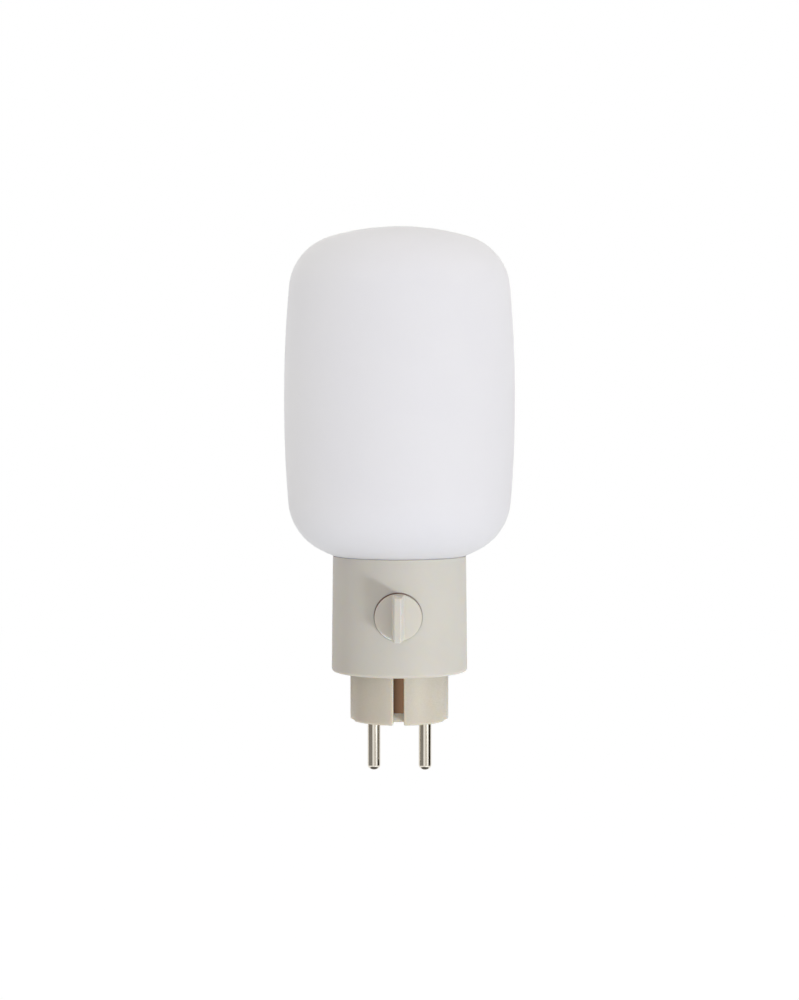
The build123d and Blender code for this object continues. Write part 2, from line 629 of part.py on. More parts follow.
with BuildPart() as pot_track:
    drum(POT_R, POT_REAR, TRACK_FRONT)
    tongue_bottom = KNOB_Z - TONGUE_DROP
    tongue_spot = (0, -(POT_REAR + TRACK_FRONT) / 2)
    block(TONGUE_W, POT_TRACK_T, tongue_bottom, tongue_bottom + TONGUE_H, (tongue_spot,))

with BuildPart() as pot_terminals:
    terminal_bottom = BOARD_BOTTOM - TERMINAL_BELOW_BOARD
    block(TERMINAL_W, TERMINAL_T, terminal_bottom, KNOB_Z - TERMINAL_DROP, TERMINAL_SPOTS)

with BuildPart() as pot_washer:
    drum(WASHER_R, WELL_FLOOR, WELL_FLOOR + WASHER_T)
    drum(BUSH_R + THREAD_GAP, WELL_FLOOR, WELL_FLOOR + WASHER_T, Mode.SUBTRACT)

with BuildPart() as pot_nut:
    with BuildSketch(KNOB_PLANE.offset(WELL_FLOOR + WASHER_T)):
        RegularPolygon(NUT_AF / 2, 6, major_radius=False)
        Circle(BUSH_R + THREAD_GAP, mode=Mode.SUBTRACT)
    extrude(amount=NUT_T)

# Turning pieces: shaft with a flat, wiper and knob
with BuildPart() as pot_shaft:
    drum(SHAFT_R, WIPER_BACK, SHAFT_END)
    with BuildSketch(KNOB_PLANE.offset(BUSH_END)):
        with Locations((0, SHAFT_FLAT)):
            Rectangle(2 * SHAFT_R, SHAFT_R, align=(Align.CENTER, Align.MIN))
    extrude(amount=SHAFT_END - BUSH_END, mode=Mode.SUBTRACT)

with BuildPart() as pot_wiper:
    drum(WIPER_R, WIPER_BACK, WIPER_FRONT)
    with BuildSketch(KNOB_PLANE.offset(TRACK_FRONT + TRACK_GAP)):
        with Locations((0, WIPER_ARM_R)):
            Rectangle(WIPER_ARM_W, WIPER_ARM_W)
    extrude(amount=WIPER_BACK - TRACK_FRONT - TRACK_GAP)
    drum(SHAFT_R + SHAFT_RUN, WIPER_BACK, WIPER_FRONT, Mode.SUBTRACT)

with BuildPart() as dimmer_knob:
    drum(KNOB_DISC_R, KNOB_BACK, KNOB_FACE)
    fillet(dimmer_knob.edges().sort_by(Axis.Y)[0], KNOB_EDGE_FILLET)
    with BuildSketch(Plane.XY.offset(KNOB_Z)):
        with BuildLine():
            Polyline(
                (-KNOB_BAR_W / 2, -KNOB_FACE),
                (-KNOB_BAR_TIP_W / 2, -KNOB_FACE - KNOB_BAR_REACH),
                (KNOB_BAR_TIP_W / 2, -KNOB_FACE - KNOB_BAR_REACH),
                (KNOB_BAR_W / 2, -KNOB_FACE),
                close=True,
            )
        make_face()
    extrude(amount=KNOB_BAR_END, both=True)
    bar_edges = [
        edge
        for edge in dimmer_knob.edges().filter_by(GeomType.LINE)
        if edge.center().Y < -KNOB_FACE - KNOB_BAR_FILLET
    ]
    fillet(bar_edges, KNOB_BAR_FILLET)
    drum(KNOB_DISC_R - KNOB_SKIRT_T, KNOB_BACK, KNOB_BACK + KNOB_SKIRT_T, Mode.SUBTRACT)
    with BuildSketch(KNOB_PLANE.offset(KNOB_BACK + KNOB_SKIRT_T)):
        Circle(SHAFT_R + SHAFT_RUN)
        with Locations((0, SHAFT_FLAT + SHAFT_RUN)):
            Rectangle(2 * SHAFT_R, SHAFT_R, align=(Align.CENTER, Align.MIN), mode=Mode.SUBTRACT)
    extrude(amount=KNOB_DISC_T - KNOB_SKIRT_T - KNOB_FACE_T, mode=Mode.SUBTRACT)

# Lamp holder, its contacts, retaining clip and leads
with BuildPart() as lamp_holder:
    holder_section(0, HOLDER_BOTTOM, DECK_TOP)
    post(HOLDER_FLANGE_R, DECK_TOP, DECK_TOP + HOLDER_FLANGE_T)
    post(HOLDER_CAP_R, DECK_TOP + HOLDER_FLANGE_T, HOLDER_TOP)
    chamfer(lamp_holder.edges().group_by(Axis.Z)[-1], HOLDER_EDGE_CHAMFER)
    with BuildSketch(Plane.XY.offset(DECK_BOTTOM - CLIP_T)):
        Circle(HOLDER_FLANGE_R)
        RectangleRounded(
            HOLDER_W - 2 * CLIP_GROOVE,
            HOLDER_D - 2 * CLIP_GROOVE,
            HOLDER_CORNER_R - CLIP_GROOVE,
            mode=Mode.SUBTRACT,
        )
    extrude(amount=CLIP_T, mode=Mode.SUBTRACT)
    block(SOCKET_W, SOCKET_L, SOCKET_FLOOR, HOLDER_TOP, SOCKET_SPOTS, Mode.SUBTRACT)
    post(LEAD_R + HOLE_CLEAR, HOLDER_BOTTOM, SOCKET_FLOOR, SOCKET_SPOTS, Mode.SUBTRACT)

with BuildPart() as holder_contacts:
    leaf_x = BULB_PIN_T / 2 + CONTACT_GRIP
    contact_w = 2 * (leaf_x + CONTACT_T)
    contact_top = SOCKET_FLOOR + CONTACT_H
    block(contact_w, CONTACT_W, SOCKET_FLOOR, contact_top, SOCKET_SPOTS)
    block(2 * leaf_x, CONTACT_W, SOCKET_FLOOR + CONTACT_T, contact_top, SOCKET_SPOTS, Mode.SUBTRACT)
    post(TAIL_R, HOLDER_BOTTOM - TAIL_DROP, SOCKET_FLOOR, SOCKET_SPOTS)

with BuildPart() as holder_clip:
    holder_section(CLIP_BORDER, DECK_BOTTOM - CLIP_T, DECK_BOTTOM)
    holder_section(CLIP_FIT - CLIP_GROOVE, DECK_BOTTOM - CLIP_T, DECK_BOTTOM, Mode.SUBTRACT)
    block(BULB_PITCH, HOLDER_D, DECK_BOTTOM - CLIP_T, DECK_BOTTOM, ((0, HOLDER_D / 2),), Mode.SUBTRACT)

with BuildPart() as holder_leads:
    post(LEAD_R, BOARD_TOP + LEAD_STRIP, HOLDER_BOTTOM - TAIL_DROP, SOCKET_SPOTS)
    post(LEAD_END_R, BOARD_BOTTOM - LEAD_BELOW_BOARD, BOARD_TOP + LEAD_STRIP, SOCKET_SPOTS)

# Bulb
with BuildPart() as bulb_base:
    with BuildSketch(Plane.XY.offset(BULB_SEAT)):
        RectangleRounded(BULB_FOOT_W, BULB_FOOT_D, BULB_FOOT_R)
    extrude(amount=BULB_FOOT_H)
    post(BULB_R + BULB_COLLAR_STEP, BULB_SEAT + BULB_FOOT_H, COVER_BASE)
    fillet(bulb_base.edges().group_by(Axis.Z)[-1], BULB_COLLAR_FILLET)

with BuildPart() as bulb_pins:
    for x, y in SOCKET_SPOTS:
        with BuildSketch(Plane.YZ.offset(x)):
            with Locations((y, BULB_SEAT)):
                Rectangle(BULB_PIN_W, BULB_PIN_L - BULB_PIN_W / 2, align=(Align.CENTER, Align.MAX))
            with Locations((y, BULB_SEAT - BULB_PIN_L + BULB_PIN_W / 2)):
                Circle(BULB_PIN_W / 2)
                Circle(BULB_PIN_W / 2 - BULB_PIN_WIRE, mode=Mode.SUBTRACT)
            with Locations((y, BULB_SEAT)):
                Rectangle(
                    BULB_PIN_W - 2 * BULB_PIN_WIRE,
                    BULB_PIN_L - BULB_PIN_W / 2,
                    align=(Align.CENTER, Align.MAX),
                    mode=Mode.SUBTRACT,
                )
        extrude(amount=BULB_PIN_T / 2, both=True)

with BuildPart() as bulb_cover:
    post(BULB_R, COVER_BASE, COVER_BASE + BULB_H)
    fillet(bulb_cover.edges().group_by(Axis.Z)[-1], BULB_DOME_FILLET)
    offset(amount=-BULB_WALL, openings=bulb_cover.faces().sort_by(Axis.Z)[0])

with BuildPart() as led_carrier:
    block(CARRIER_W, CARRIER_W, COVER_BASE, COVER_BASE + CARRIER_H)

with BuildPart() as led_chips:
    for side in range(4):
        with BuildSketch(Plane.XZ.rotated((0, 0, 90 * side)).offset(CARRIER_W / 2)):
            for row in range(CHIP_COUNT):
                with Locations((0, COVER_BASE + CHIP_FIRST + row * CHIP_PITCH)):
                    Rectangle(CHIP_W, CHIP_H)
        extrude(amount=CHIP_T)

# Glass shade: one wall of even thickness, with a rounded neck root and neck end
with BuildPart() as glass_shade:
    with BuildSketch(Plane.XZ) as section:
        add(shade_outline(0))
        with Locations((0, NECK_BOTTOM)):
            Rectangle(NECK_R, BOWL_Z - NECK_BOTTOM, align=(Align.MIN, Align.MIN))
        add(shade_outline(GLASS_T), mode=Mode.SUBTRACT)
        with Locations((0, NECK_BOTTOM)):
            Rectangle(
                NECK_R - GLASS_T, BOWL_Z - NECK_BOTTOM, align=(Align.MIN, Align.MIN), mode=Mode.SUBTRACT
            )
        fillet(section.vertices().sort_by_distance((NECK_R, NECK_ROOT_Z, 0))[0], NECK_ROOT_FILLET)
        fillet(section.vertices().sort_by(Axis.Y)[:2], NECK_END_FILLET)
    revolve(axis=Axis.Z)

# Sleeve: skin on the neck, lip under the neck's end, ribs to the well's wall and a seat under the bowl
with BuildPart() as neck_sleeve:
    skin_r = NECK_R + SLEEVE_FIT
    sleeve_bottom = DECK_TOP + SEAT_GAP
    seat_bottom = SLEEVE_TOP - RIB_H
    rib_pitch = (seat_bottom - sleeve_bottom) / (RIB_COUNT + 1)
    with BuildSketch(Plane.XZ):
        with Locations((skin_r, seat_bottom)):
            Rectangle(WELL_R - RIB_FIT - skin_r, RIM_TOP - seat_bottom, align=(Align.MIN, Align.MIN))
        with Locations((0, BOWL_Z)):
            Circle(BOWL_R + SLEEVE_FIT, mode=Mode.SUBTRACT)
        with Locations((0, SLEEVE_TOP)):
            Rectangle(
                skin_r + NECK_ROOT_FILLET,
                RIM_TOP - SLEEVE_TOP,
                align=(Align.MIN, Align.MIN),
                mode=Mode.SUBTRACT,
            )
        with Locations((skin_r, sleeve_bottom)):
            Rectangle(SLEEVE_SKIN, SLEEVE_TOP - sleeve_bottom, align=(Align.MIN, Align.MIN))
        with Locations((skin_r + SLEEVE_SKIN, sleeve_bottom)):
            Rectangle(
                SLEEVE_SKIN + SLEEVE_LIP_W, SLEEVE_LIP_T - SLEEVE_FIT, align=(Align.MAX, Align.MIN)
            )
        for rib in range(RIB_COUNT):
            with Locations((skin_r, sleeve_bottom + rib_pitch * (rib + 1))):
                Rectangle(WELL_R - RIB_FIT - skin_r, RIB_H, align=(Align.MIN, Align.CENTER))
    revolve(axis=Axis.Z)

PIECES = {
    "plug_base": plug_base,
    **pins,
    "earth_contacts": earth_contacts,
    "base_housing": base_housing,
    "assembly_screws": assembly_screws,
    "control_board": control_board,
    "solder_joints": solder_joints,
    "choke_core": choke_core,
    "choke_winding": choke_winding,
    "filter_capacitor": filter_capacitor,
    "triac": triac,
    "line_fuse": line_fuse,
    "diac": diac,
    "resistors": resistors,
    "timing_capacitor": timing_capacitor,
    "pot_case": pot_case,
    "pot_track": pot_track,
    "pot_terminals": pot_terminals,
    "pot_washer": pot_washer,
    "pot_nut": pot_nut,
    "pot_shaft": pot_shaft,
    "pot_wiper": pot_wiper,
    "dimmer_knob": dimmer_knob,
    "lamp_holder": lamp_holder,
    "holder_contacts": holder_contacts,
    "holder_clip": holder_clip,
    "holder_leads": holder_leads,
    "bulb_base": bulb_base,
    "bulb_pins": bulb_pins,
    "bulb_cover": bulb_cover,
    "led_carrier": led_carrier,
    "led_chips": led_chips,
    "glass_shade": glass_shade,
    "neck_sleeve": neck_sleeve,
}

os.makedirs("parts", exist_ok=True)
for name, piece in PIECES.items():
    piece.part.label = name
    export_step(piece.part, f"parts/{name}.step")
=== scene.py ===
"""Plug-in lamp with an opal glass shade and a rotary dimmer: its finishes, fine pieces and studio.

Everything is in metres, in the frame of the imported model: the origin is on the plug's face between
the pins, +Z is up, and the knob faces -Y. The moulded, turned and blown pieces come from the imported
model and get their finishes here. Threads, wire, solder, tracks, bands, caps, the felt ring, grip
ribs and chip frames are modelled here.
"""

import logging
import math
from dataclasses import dataclass
from enum import Enum
from functools import lru_cache
from typing import ClassVar, Iterable, Protocol, Sequence

import bmesh
import bpy
from mathutils import Matrix, Vector


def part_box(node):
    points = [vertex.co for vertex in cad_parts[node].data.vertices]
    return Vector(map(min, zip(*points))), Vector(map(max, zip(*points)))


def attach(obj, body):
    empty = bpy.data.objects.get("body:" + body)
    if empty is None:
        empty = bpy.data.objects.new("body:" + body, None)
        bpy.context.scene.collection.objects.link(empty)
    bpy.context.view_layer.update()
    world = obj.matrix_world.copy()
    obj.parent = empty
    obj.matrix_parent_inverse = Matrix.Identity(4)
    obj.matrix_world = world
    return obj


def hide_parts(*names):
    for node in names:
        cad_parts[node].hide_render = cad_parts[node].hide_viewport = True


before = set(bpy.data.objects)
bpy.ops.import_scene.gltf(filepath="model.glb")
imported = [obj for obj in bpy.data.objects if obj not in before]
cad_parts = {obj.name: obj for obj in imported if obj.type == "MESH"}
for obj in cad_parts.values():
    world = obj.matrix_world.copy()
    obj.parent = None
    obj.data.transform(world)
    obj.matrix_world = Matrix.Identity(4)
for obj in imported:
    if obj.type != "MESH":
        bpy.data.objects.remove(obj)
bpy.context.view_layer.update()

LOG = logging.getLogger("plug_in_lamp")
MM = 0.001
SMOOTH_ANGLE = math.radians(32)

Colour = tuple[float, float, float]
Corner = tuple[float, float, float]

WHITE: Colour = (1.0, 1.0, 1.0)

# How many finer octaves a noise has
ONE_OCTAVE = 1.0
FEW_OCTAVES = 2.0
SOME_OCTAVES = 3.0
MANY_OCTAVES = 4.0

# Nearly all of a noise lies in the middle half of its range
MIDDLE_HALF = (0.25, 0.75)

# A rounded end starts a little way round its first step, so that its tip has a face
TIP = 0.3


class Grain(Enum):
    """Stretch of a finish's marks along X, Y and Z, as the way it was worked leaves them."""

    EVEN = (1.0, 1.0, 1.0)
    ROUND_Z = (1.0, 1.0, 40.0)
    ALONG_Z = (30.0, 30.0, 1.0)
    ROUND_Y = (1.0, 40.0, 1.0)


@dataclass(frozen=True)
class Fade:
    """Way across an object along which its colour changes, in the object's own coordinates."""

    start: Corner
    end: Corner


class ShaderBoard:
    """A material's nodes, with short ways to place and join them."""

    def __init__(self, name: str) -> None:
        """Makes a material with a principled shader.

        Args:
            name: the material's name.
        """
        self.material = bpy.data.materials.new(name)
        self.material.use_nodes = True
        self.tree = self.material.node_tree
        self.tree.nodes.clear()
        self.shader = self.tree.nodes.new("ShaderNodeBsdfPrincipled")
        self.relief: bpy.types.Node | None = None
        output = self.tree.nodes.new("ShaderNodeOutputMaterial")
        self.join(self.shader.outputs["BSDF"], output.inputs["Surface"])

    def join(self, start: bpy.types.NodeSocket, end: bpy.types.NodeSocket) -> None:
        """Joins an output socket to an input socket."""
        self.tree.links.new(start, end)

    def noise(
        self, size: float, detail: float = SOME_OCTAVES, grain: Grain = Grain.EVEN
    ) -> bpy.types.NodeSocket:
        """Adds a noise in the object's own coordinates.

        Args:
            size: the size of its features in metres.
            detail: how many finer octaves it has.
            grain: the direction in which its features are drawn out.

        Returns:
            The socket of the noise's factor.
        """
        place = self.tree.nodes.new("ShaderNodeTexCoord")
        stretch = self.tree.nodes.new("ShaderNodeMapping")
        stretch.inputs["Scale"].default_value = grain.value
        noise = self.tree.nodes.new("ShaderNodeTexNoise")
        noise.inputs["Scale"].default_value = 1.0 / size
        noise.inputs["Detail"].default_value = detail
        self.join(place.outputs["Object"], stretch.inputs["Vector"])
        self.join(stretch.outputs["Vector"], noise.inputs["Vector"])
        return noise.outputs["Fac"]

    def fade(self, fade: Fade) -> bpy.types.NodeSocket:
        """Adds a factor that grows along a way across the object, with which shade is painted.

        Args:
            fade: the way.

        Returns:
            The socket of a factor that passes its middle half along the way.
        """
        way = Vector(fade.end) - Vector(fade.start)
        place = self.tree.nodes.new("ShaderNodeTexCoord")
        from_start = self.tree.nodes.new("ShaderNodeVectorMath")
        from_start.operation = "SUBTRACT"
        from_start.inputs[1].default_value = fade.start
        along = self.tree.nodes.new("ShaderNodeVectorMath")
        along.operation = "DOT_PRODUCT"
        along.inputs[1].default_value = way / way.length_squared
        self.join(place.outputs["Object"], from_start.inputs[0])
        self.join(from_start.outputs["Vector"], along.inputs[0])
        share = self.tree.nodes.new("ShaderNodeMapRange")
        share.inputs["To Min"].default_value = MIDDLE_HALF[0]
        share.inputs["To Max"].default_value = MIDDLE_HALF[1]
        self.join(along.outputs["Value"], share.inputs["Value"])
        return share.outputs["Result"]

    def spread(self, factor: bpy.types.NodeSocket, low: float, high: float) -> bpy.types.NodeSocket:
        """Maps the middle half of a factor onto a range.

        Args:
            factor: the socket to map.
            low: the value at the range's start.
            high: the value at its end.

        Returns:
            The socket of the mapped value.
        """
        node = self.tree.nodes.new("ShaderNodeMapRange")
        node.inputs["From Min"].default_value = MIDDLE_HALF[0]
        node.inputs["From Max"].default_value = MIDDLE_HALF[1]
        node.inputs["To Min"].default_value = low
        node.inputs["To Max"].default_value = high
        self.join(factor, node.inputs["Value"])
        return node.outputs["Result"]

    def tint(self, factor: bpy.types.NodeSocket, low: Colour, high: Colour) -> None:
        """Gives the shader a colour that drifts between two shades.

        Args:
            factor: the socket that says where between the two.
            low: the colour at the factor's low end.
            high: the colour at its high end.
        """
        node = self.tree.nodes.new("ShaderNodeMix")
        node.data_type = "RGBA"
        node.inputs["A"].default_value = (*low, 1.0)
        node.inputs["B"].default_value = (*high, 1.0)
        self.join(self.spread(factor, 0.0, 1.0), node.inputs["Factor"])
        self.join(node.outputs["Result"], self.shader.inputs["Base Color"])

    def paint_shade(self, factor: bpy.types.NodeSocket, painted_shade_colour: Colour) -> None:
        """Paints shade over the tint, as far as a factor says, by multiplying it with a darker colour.

        Args:
            factor: the socket that says where the shade is painted.
            painted_shade_colour: the colour of the painted shade, which multiplies the tint.
        """
        node = self.tree.nodes.new("ShaderNodeMix")
        node.data_type = "RGBA"
        node.blend_type = "MULTIPLY"
        tint = self.shader.inputs["Base Color"].links[0].from_socket
        node.inputs["B"].default_value = (*painted_shade_colour, 1.0)
        self.join(tint, node.inputs["A"])
        self.join(self.spread(factor, 0.0, 1.0), node.inputs["Factor"])
        self.join(node.outputs["Result"], self.shader.inputs["Base Color"])

    def gloss(self, factor: bpy.types.NodeSocket, roughness: float, drift: float) -> None:
        """Gives the shader a roughness that drifts about a value.

        Args:
            factor: the socket that the drift follows.
            roughness: the value in the middle.
            drift: how far it goes to each side.
        """
        spread = self.spread(factor, roughness - drift, roughness + drift)
        self.join(spread, self.shader.inputs["Roughness"])

    def bump(self, height: bpy.types.NodeSocket, depth: float) -> None:
        """Adds relief over any that is there already.

        Args:
            height: the socket of the height from 0 to 1.
            depth: how deep the relief is in metres.
        """
        node = self.tree.nodes.new("ShaderNodeBump")
        node.inputs["Distance"].default_value = depth
        self.join(height, node.inputs["Height"])
        if self.relief is not None:
            self.join(self.relief.outputs["Normal"], node.inputs["Normal"])
        self.relief = node
        self.join(node.outputs["Normal"], self.shader.inputs["Normal"])

    def constant(self, socket: str, value: float) -> None:
        """Sets a number on the shader's own socket."""
        self.shader.inputs[socket].default_value = value

    def soak(self, depth: float, reach: Colour) -> None:
        """Lets light soak into the material and come out beside where it went in.

        Args:
            depth: how far the light goes, in metres.
            reach: how far red, green and blue go as shares of that.
        """
        self.constant("Subsurface Weight", 1.0)
        self.constant("Subsurface Scale", depth)
        self.shader.inputs["Subsurface Radius"].default_value = reach


def scaled(colour: Colour, factor: float) -> Colour:
    """Makes a colour lighter or darker by a factor."""
    red, green, blue = (min(1.0, channel * factor) for channel in colour)
    return red, green, blue


class Finish(Protocol):
    """Anything that can make a material of its own."""

    name: str

    def material(self) -> bpy.types.Material:
        """Builds the material."""


@dataclass(frozen=True)
class Moulding:
    """Injection-moulded plastic from a finely eroded tool."""

    name: str
    colour: Colour
    roughness: float = 0.5
    grain: float = 0.25 * MM
    grain_depth: float = 0.006 * MM
    flow: float = 18 * MM
    mottle: float = 0.015
    drift: float = 0.06
    depth: float = 1.3 * MM
    warmth: Colour = (1.0, 0.7, 0.4)
    # A way across the piece along which a darker colour is painted over it as shade; on the knob it
    # darkens the bar towards its crest.
    painted_shade_way: Fade | None = None
    painted_shade_colour: Colour = (0.923, 0.923, 0.923)

    def material(self) -> bpy.types.Material:
        """Builds the material.

        Returns:
            The new material.
        """
        board = ShaderBoard(self.name)
        board.soak(self.depth, self.warmth)
        flow = board.noise(self.flow, FEW_OCTAVES)
        board.tint(flow, scaled(self.colour, 1 - self.mottle), scaled(self.colour, 1 + self.mottle))
        # Painted shade, darker along the given way.
        if self.painted_shade_way is not None:
            board.paint_shade(board.fade(self.painted_shade_way), self.painted_shade_colour)
        grain = board.noise(self.grain, MANY_OCTAVES)
        board.gloss(grain, self.roughness, self.drift)
        board.bump(grain, self.grain_depth)
        return board.material


@dataclass(frozen=True)
class OpalGlass:
    """Mouth-blown opal glass, etched to a satin outside."""

    name: str
    colour: Colour
    roughness: float = 0.55
    glow: float = 3.5 * MM
    swell: float = 24 * MM
    swell_depth: float = 0.04 * MM
    etch: float = 0.12 * MM
    etch_depth: float = 0.003 * MM
    drift: float = 0.05
    cloud: float = 30 * MM
    mottle: float = 0.008

    def material(self) -> bpy.types.Material:
        """Builds the material.

        Returns:
            The new material.
        """
        board = ShaderBoard(self.name)
        cloud = board.noise(self.cloud, FEW_OCTAVES)
        board.tint(cloud, scaled(self.colour, 1 - self.mottle), scaled(self.colour, 1 + self.mottle))
        etch = board.noise(self.etch)
        board.gloss(etch, self.roughness, self.drift)
        board.bump(board.noise(self.swell, ONE_OCTAVE), self.swell_depth)
        board.bump(etch, self.etch_depth)
        board.soak(self.glow, WHITE)
        return board.material


@dataclass(frozen=True)
class WorkedMetal:
    """Metal with marks of turning, pressing or plating, and of rubbing where hands touch it; a ramp
    paints shade.
    """

    name: str
    colour: Colour
    roughness: float = 0.25
    grain: Grain = Grain.EVEN
    mark: float = 1.5 * MM
    mark_depth: float = 0.002 * MM
    tarnish_and_shade: float = 0.06
    tarnish_size: float = 4 * MM
    rubbed_and_lit: Grain | None = None
    fade: Fade | None = None

    def material(self) -> bpy.types.Material:
        """Builds the material.

        Returns:
            The new material.
        """
        board = ShaderBoard(self.name)
        board.constant("Metallic", 1.0)
        # The tint is random, unless a ramp is given: then it is painted shade, darker at the ramp's
        # start.
        drift = board.noise(self.tarnish_size) if self.fade is None else board.fade(self.fade)
        board.tint(drift, scaled(self.colour, 1 - self.tarnish_and_shade), self.colour)
        marks = board.noise(self.mark, MANY_OCTAVES, self.grain)
        board.gloss(marks, self.roughness, self.roughness / 4)
        board.bump(marks, self.mark_depth)
        if self.rubbed_and_lit is not None:
            board.bump(board.noise(self.mark / 2, FEW_OCTAVES, self.rubbed_and_lit), self.mark_depth / 2)
        return board.material


@dataclass(frozen=True)
class Coated:
    """Ceramic, laminate, rubber, lacquer or plain plastic, with a clear coat where it is varnished."""

    name: str
    colour: Colour
    roughness: float = 0.5
    grain: float = 0.4 * MM
    grain_depth: float = 0.01 * MM
    mottle: float = 0.08
    coat: float = 0.0
    cloud: float = 2.5 * MM
    drift: float = 0.08

    def material(self) -> bpy.types.Material:
        """Builds the material.

        Returns:
            The new material.
        """
        board = ShaderBoard(self.name)
        cloud = board.noise(self.cloud, MANY_OCTAVES)
        board.tint(cloud, scaled(self.colour, 1 - self.mottle), scaled(self.colour, 1 + self.mottle))
        grain = board.noise(self.grain, MANY_OCTAVES)
        board.gloss(grain, self.roughness, self.drift)
        board.bump(grain, self.grain_depth)
        board.constant("Coat Weight", self.coat)
        return board.material


@dataclass(frozen=True)
class FeltWithPaintedShade:
    """Wool felt whose colour is painted shade: dark at the start of a way across the piece, pale at its
    end.
    """

    name: str
    colour: Colour
    rubbed_and_lit: Colour
    fade: Fade
    fibre: float = 0.2 * MM
    fibre_depth: float = 0.05 * MM
    roughness: float = 0.92
    drift: float = 0.06

    def material(self) -> bpy.types.Material:
        """Builds the material.

        Returns:
            The new material.
        """
        board = ShaderBoard(self.name)
        # Painted shade: the colour is dark at the way's start and pale at its end.
        board.tint(board.fade(self.fade), self.colour, self.rubbed_and_lit)
        fibre = board.noise(self.fibre, MANY_OCTAVES)
        board.gloss(fibre, self.roughness, self.drift)
        board.bump(fibre, self.fibre_depth)
        return board.material


@dataclass(frozen=True)
class FrostedCover:
    """Milky plastic that lets some light through."""

    name: str
    colour: Colour
    roughness: float = 0.5
    clearness: float = 0.35
    frost: float = 0.2 * MM
    frost_depth: float = 0.006 * MM
    cloud: float = 9 * MM
    mottle: float = 0.02
    drift: float = 0.06

    def material(self) -> bpy.types.Material:
        """Builds the material.

        Returns:
            The new material.
        """
        board = ShaderBoard(self.name)
        cloud = board.noise(self.cloud, FEW_OCTAVES)
        board.tint(cloud, scaled(self.colour, 1 - self.mottle), self.colour)
        frost = board.noise(self.frost, MANY_OCTAVES)
        board.gloss(frost, self.roughness, self.drift)
        board.bump(frost, self.frost_depth)
        board.constant("Transmission Weight", self.clearness)
        return board.material


HOUSING_PLASTIC = Moulding("housing_plastic", (0.571, 0.543, 0.492))
# The knob's colour is set lighter than the housing's, as painted light on the disc that the bar shades,
# and its bar is painted darker from the disc's face outwards, as painted shade on the lit bar.
KNOB_PLASTIC = Moulding(
    "knob_plastic",
    (0.648, 0.616, 0.562),
    depth=0.7 * MM,
    painted_shade_way=Fade((0.0, -25.3 * MM, 0.0), (0.0, -28.5 * MM, 0.0)),
)
PLUG_PLASTIC = Moulding(
    "plug_plastic",
    (0.55, 0.505, 0.43),
    0.28,
    grain_depth=0.003 * MM,
    depth=2.6 * MM,
)
OPAL_GLASS = OpalGlass("opal_glass", (0.877, 0.873, 0.995))
PIN_NICKEL = WorkedMetal(
    "pin_nickel",
    (0.77, 0.72, 0.63),
    0.11,
    Grain.ROUND_Z,
    1.2 * MM,
    0.0008 * MM,
    rubbed_and_lit=Grain.ALONG_Z,
)
# The earth strips are painted darker towards -X: painted shade, as if the slot's wall shaded that side.
EARTH_BRONZE = WorkedMetal(
    "earth_bronze",
    (0.29, 0.165, 0.098),
    0.38,
    Grain.ALONG_Z,
    tarnish_and_shade=0.5,
    fade=Fade((-1.8 * MM, 0.0, 0.0), (1.8 * MM, 0.0, 0.0)),
)
SCREW_STEEL = WorkedMetal("screw_steel", (0.60, 0.60, 0.60), 0.3)
SOLDER = WorkedMetal("solder", (0.72, 0.72, 0.74), 0.22)
COPPER_WIRE = WorkedMetal("copper_wire", (0.72, 0.34, 0.16), 0.22, tarnish_and_shade=0.2)
TRACK_COPPER = Coated("masked_copper", (0.10, 0.34, 0.15), 0.32, coat=0.5)
FUSE_CAP = WorkedMetal("fuse_cap", (0.74, 0.73, 0.69), 0.22)
BULB_PLASTIC = Coated("bulb_plastic", (0.83, 0.83, 0.80), 0.35, mottle=0.02)
# The felt's colour is painted shade: dark brown towards the top of the slit round the knob, where shade
# falls, and pale towards its lower right.
FELT = FeltWithPaintedShade(
    "felt_painted_shade",
    (0.14, 0.07, 0.05),
    (0.50, 0.47, 0.42),
    Fade((-4 * MM, 0.0, 50 * MM), (3 * MM, 0.0, 33 * MM)),
)


@lru_cache(maxsize=None)
def material_of(finish: Finish) -> bpy.types.Material:
    """Gives the finish's material, made once."""
    return finish.material()


def dress(mesh: bpy.types.Mesh, finish: Finish) -> None:
    """Gives a mesh its finish in place of any it has.

    Args:
        mesh: the mesh to dress.
        finish: what it is finished in.
    """
    mesh.materials.clear()
    mesh.materials.append(material_of(finish))


def turned(base: Matrix, turns: float = 1.0, rise: float = 0.0, steps: int = 48) -> list[Matrix]:
    """Gives the frames of a turn or a helix round a frame's own Z.

    Args:
        base: the frame whose Z is the axis.
        turns: how many turns there are.
        rise: how far the helix climbs in all.
        steps: how many frames one turn has.

    Returns:
        The frames in order; a full circle's last frame is its first again.
    """
    count = round(turns * steps)
    frames = []
    for step in range(count + 1):
        climb = Matrix.Translation((0, 0, rise * step / count))
        turn = Matrix.Rotation(math.tau * step / steps, 4, "Z")
        frames.append(base @ climb @ turn)
    return frames


def tapered(base: Matrix, length: float, end: float, steps: int = 5) -> list[Matrix]:
    """Gives the frames of a rounded-off rib along a frame's own Z.

    Args:
        base: the frame at the rib's foot.
        length: how long the rib is.
        end: how long each rounded end is.
        steps: how many frames each end has.

    Returns:
        The frames from foot to top, shrunk towards both ends.
    """
    turns = [math.pi / 2 * (step + TIP) / (steps + TIP) for step in range(steps + 1)]
    foot = [(end * (1 - math.cos(turn)), math.sin(turn)) for turn in turns]
    top = [(length - height, size) for height, size in reversed(foot)]
    return [
        base @ Matrix.Translation((0, 0, height)) @ Matrix.Diagonal((size, size, 1, 1))
        for height, size in foot + top
    ]


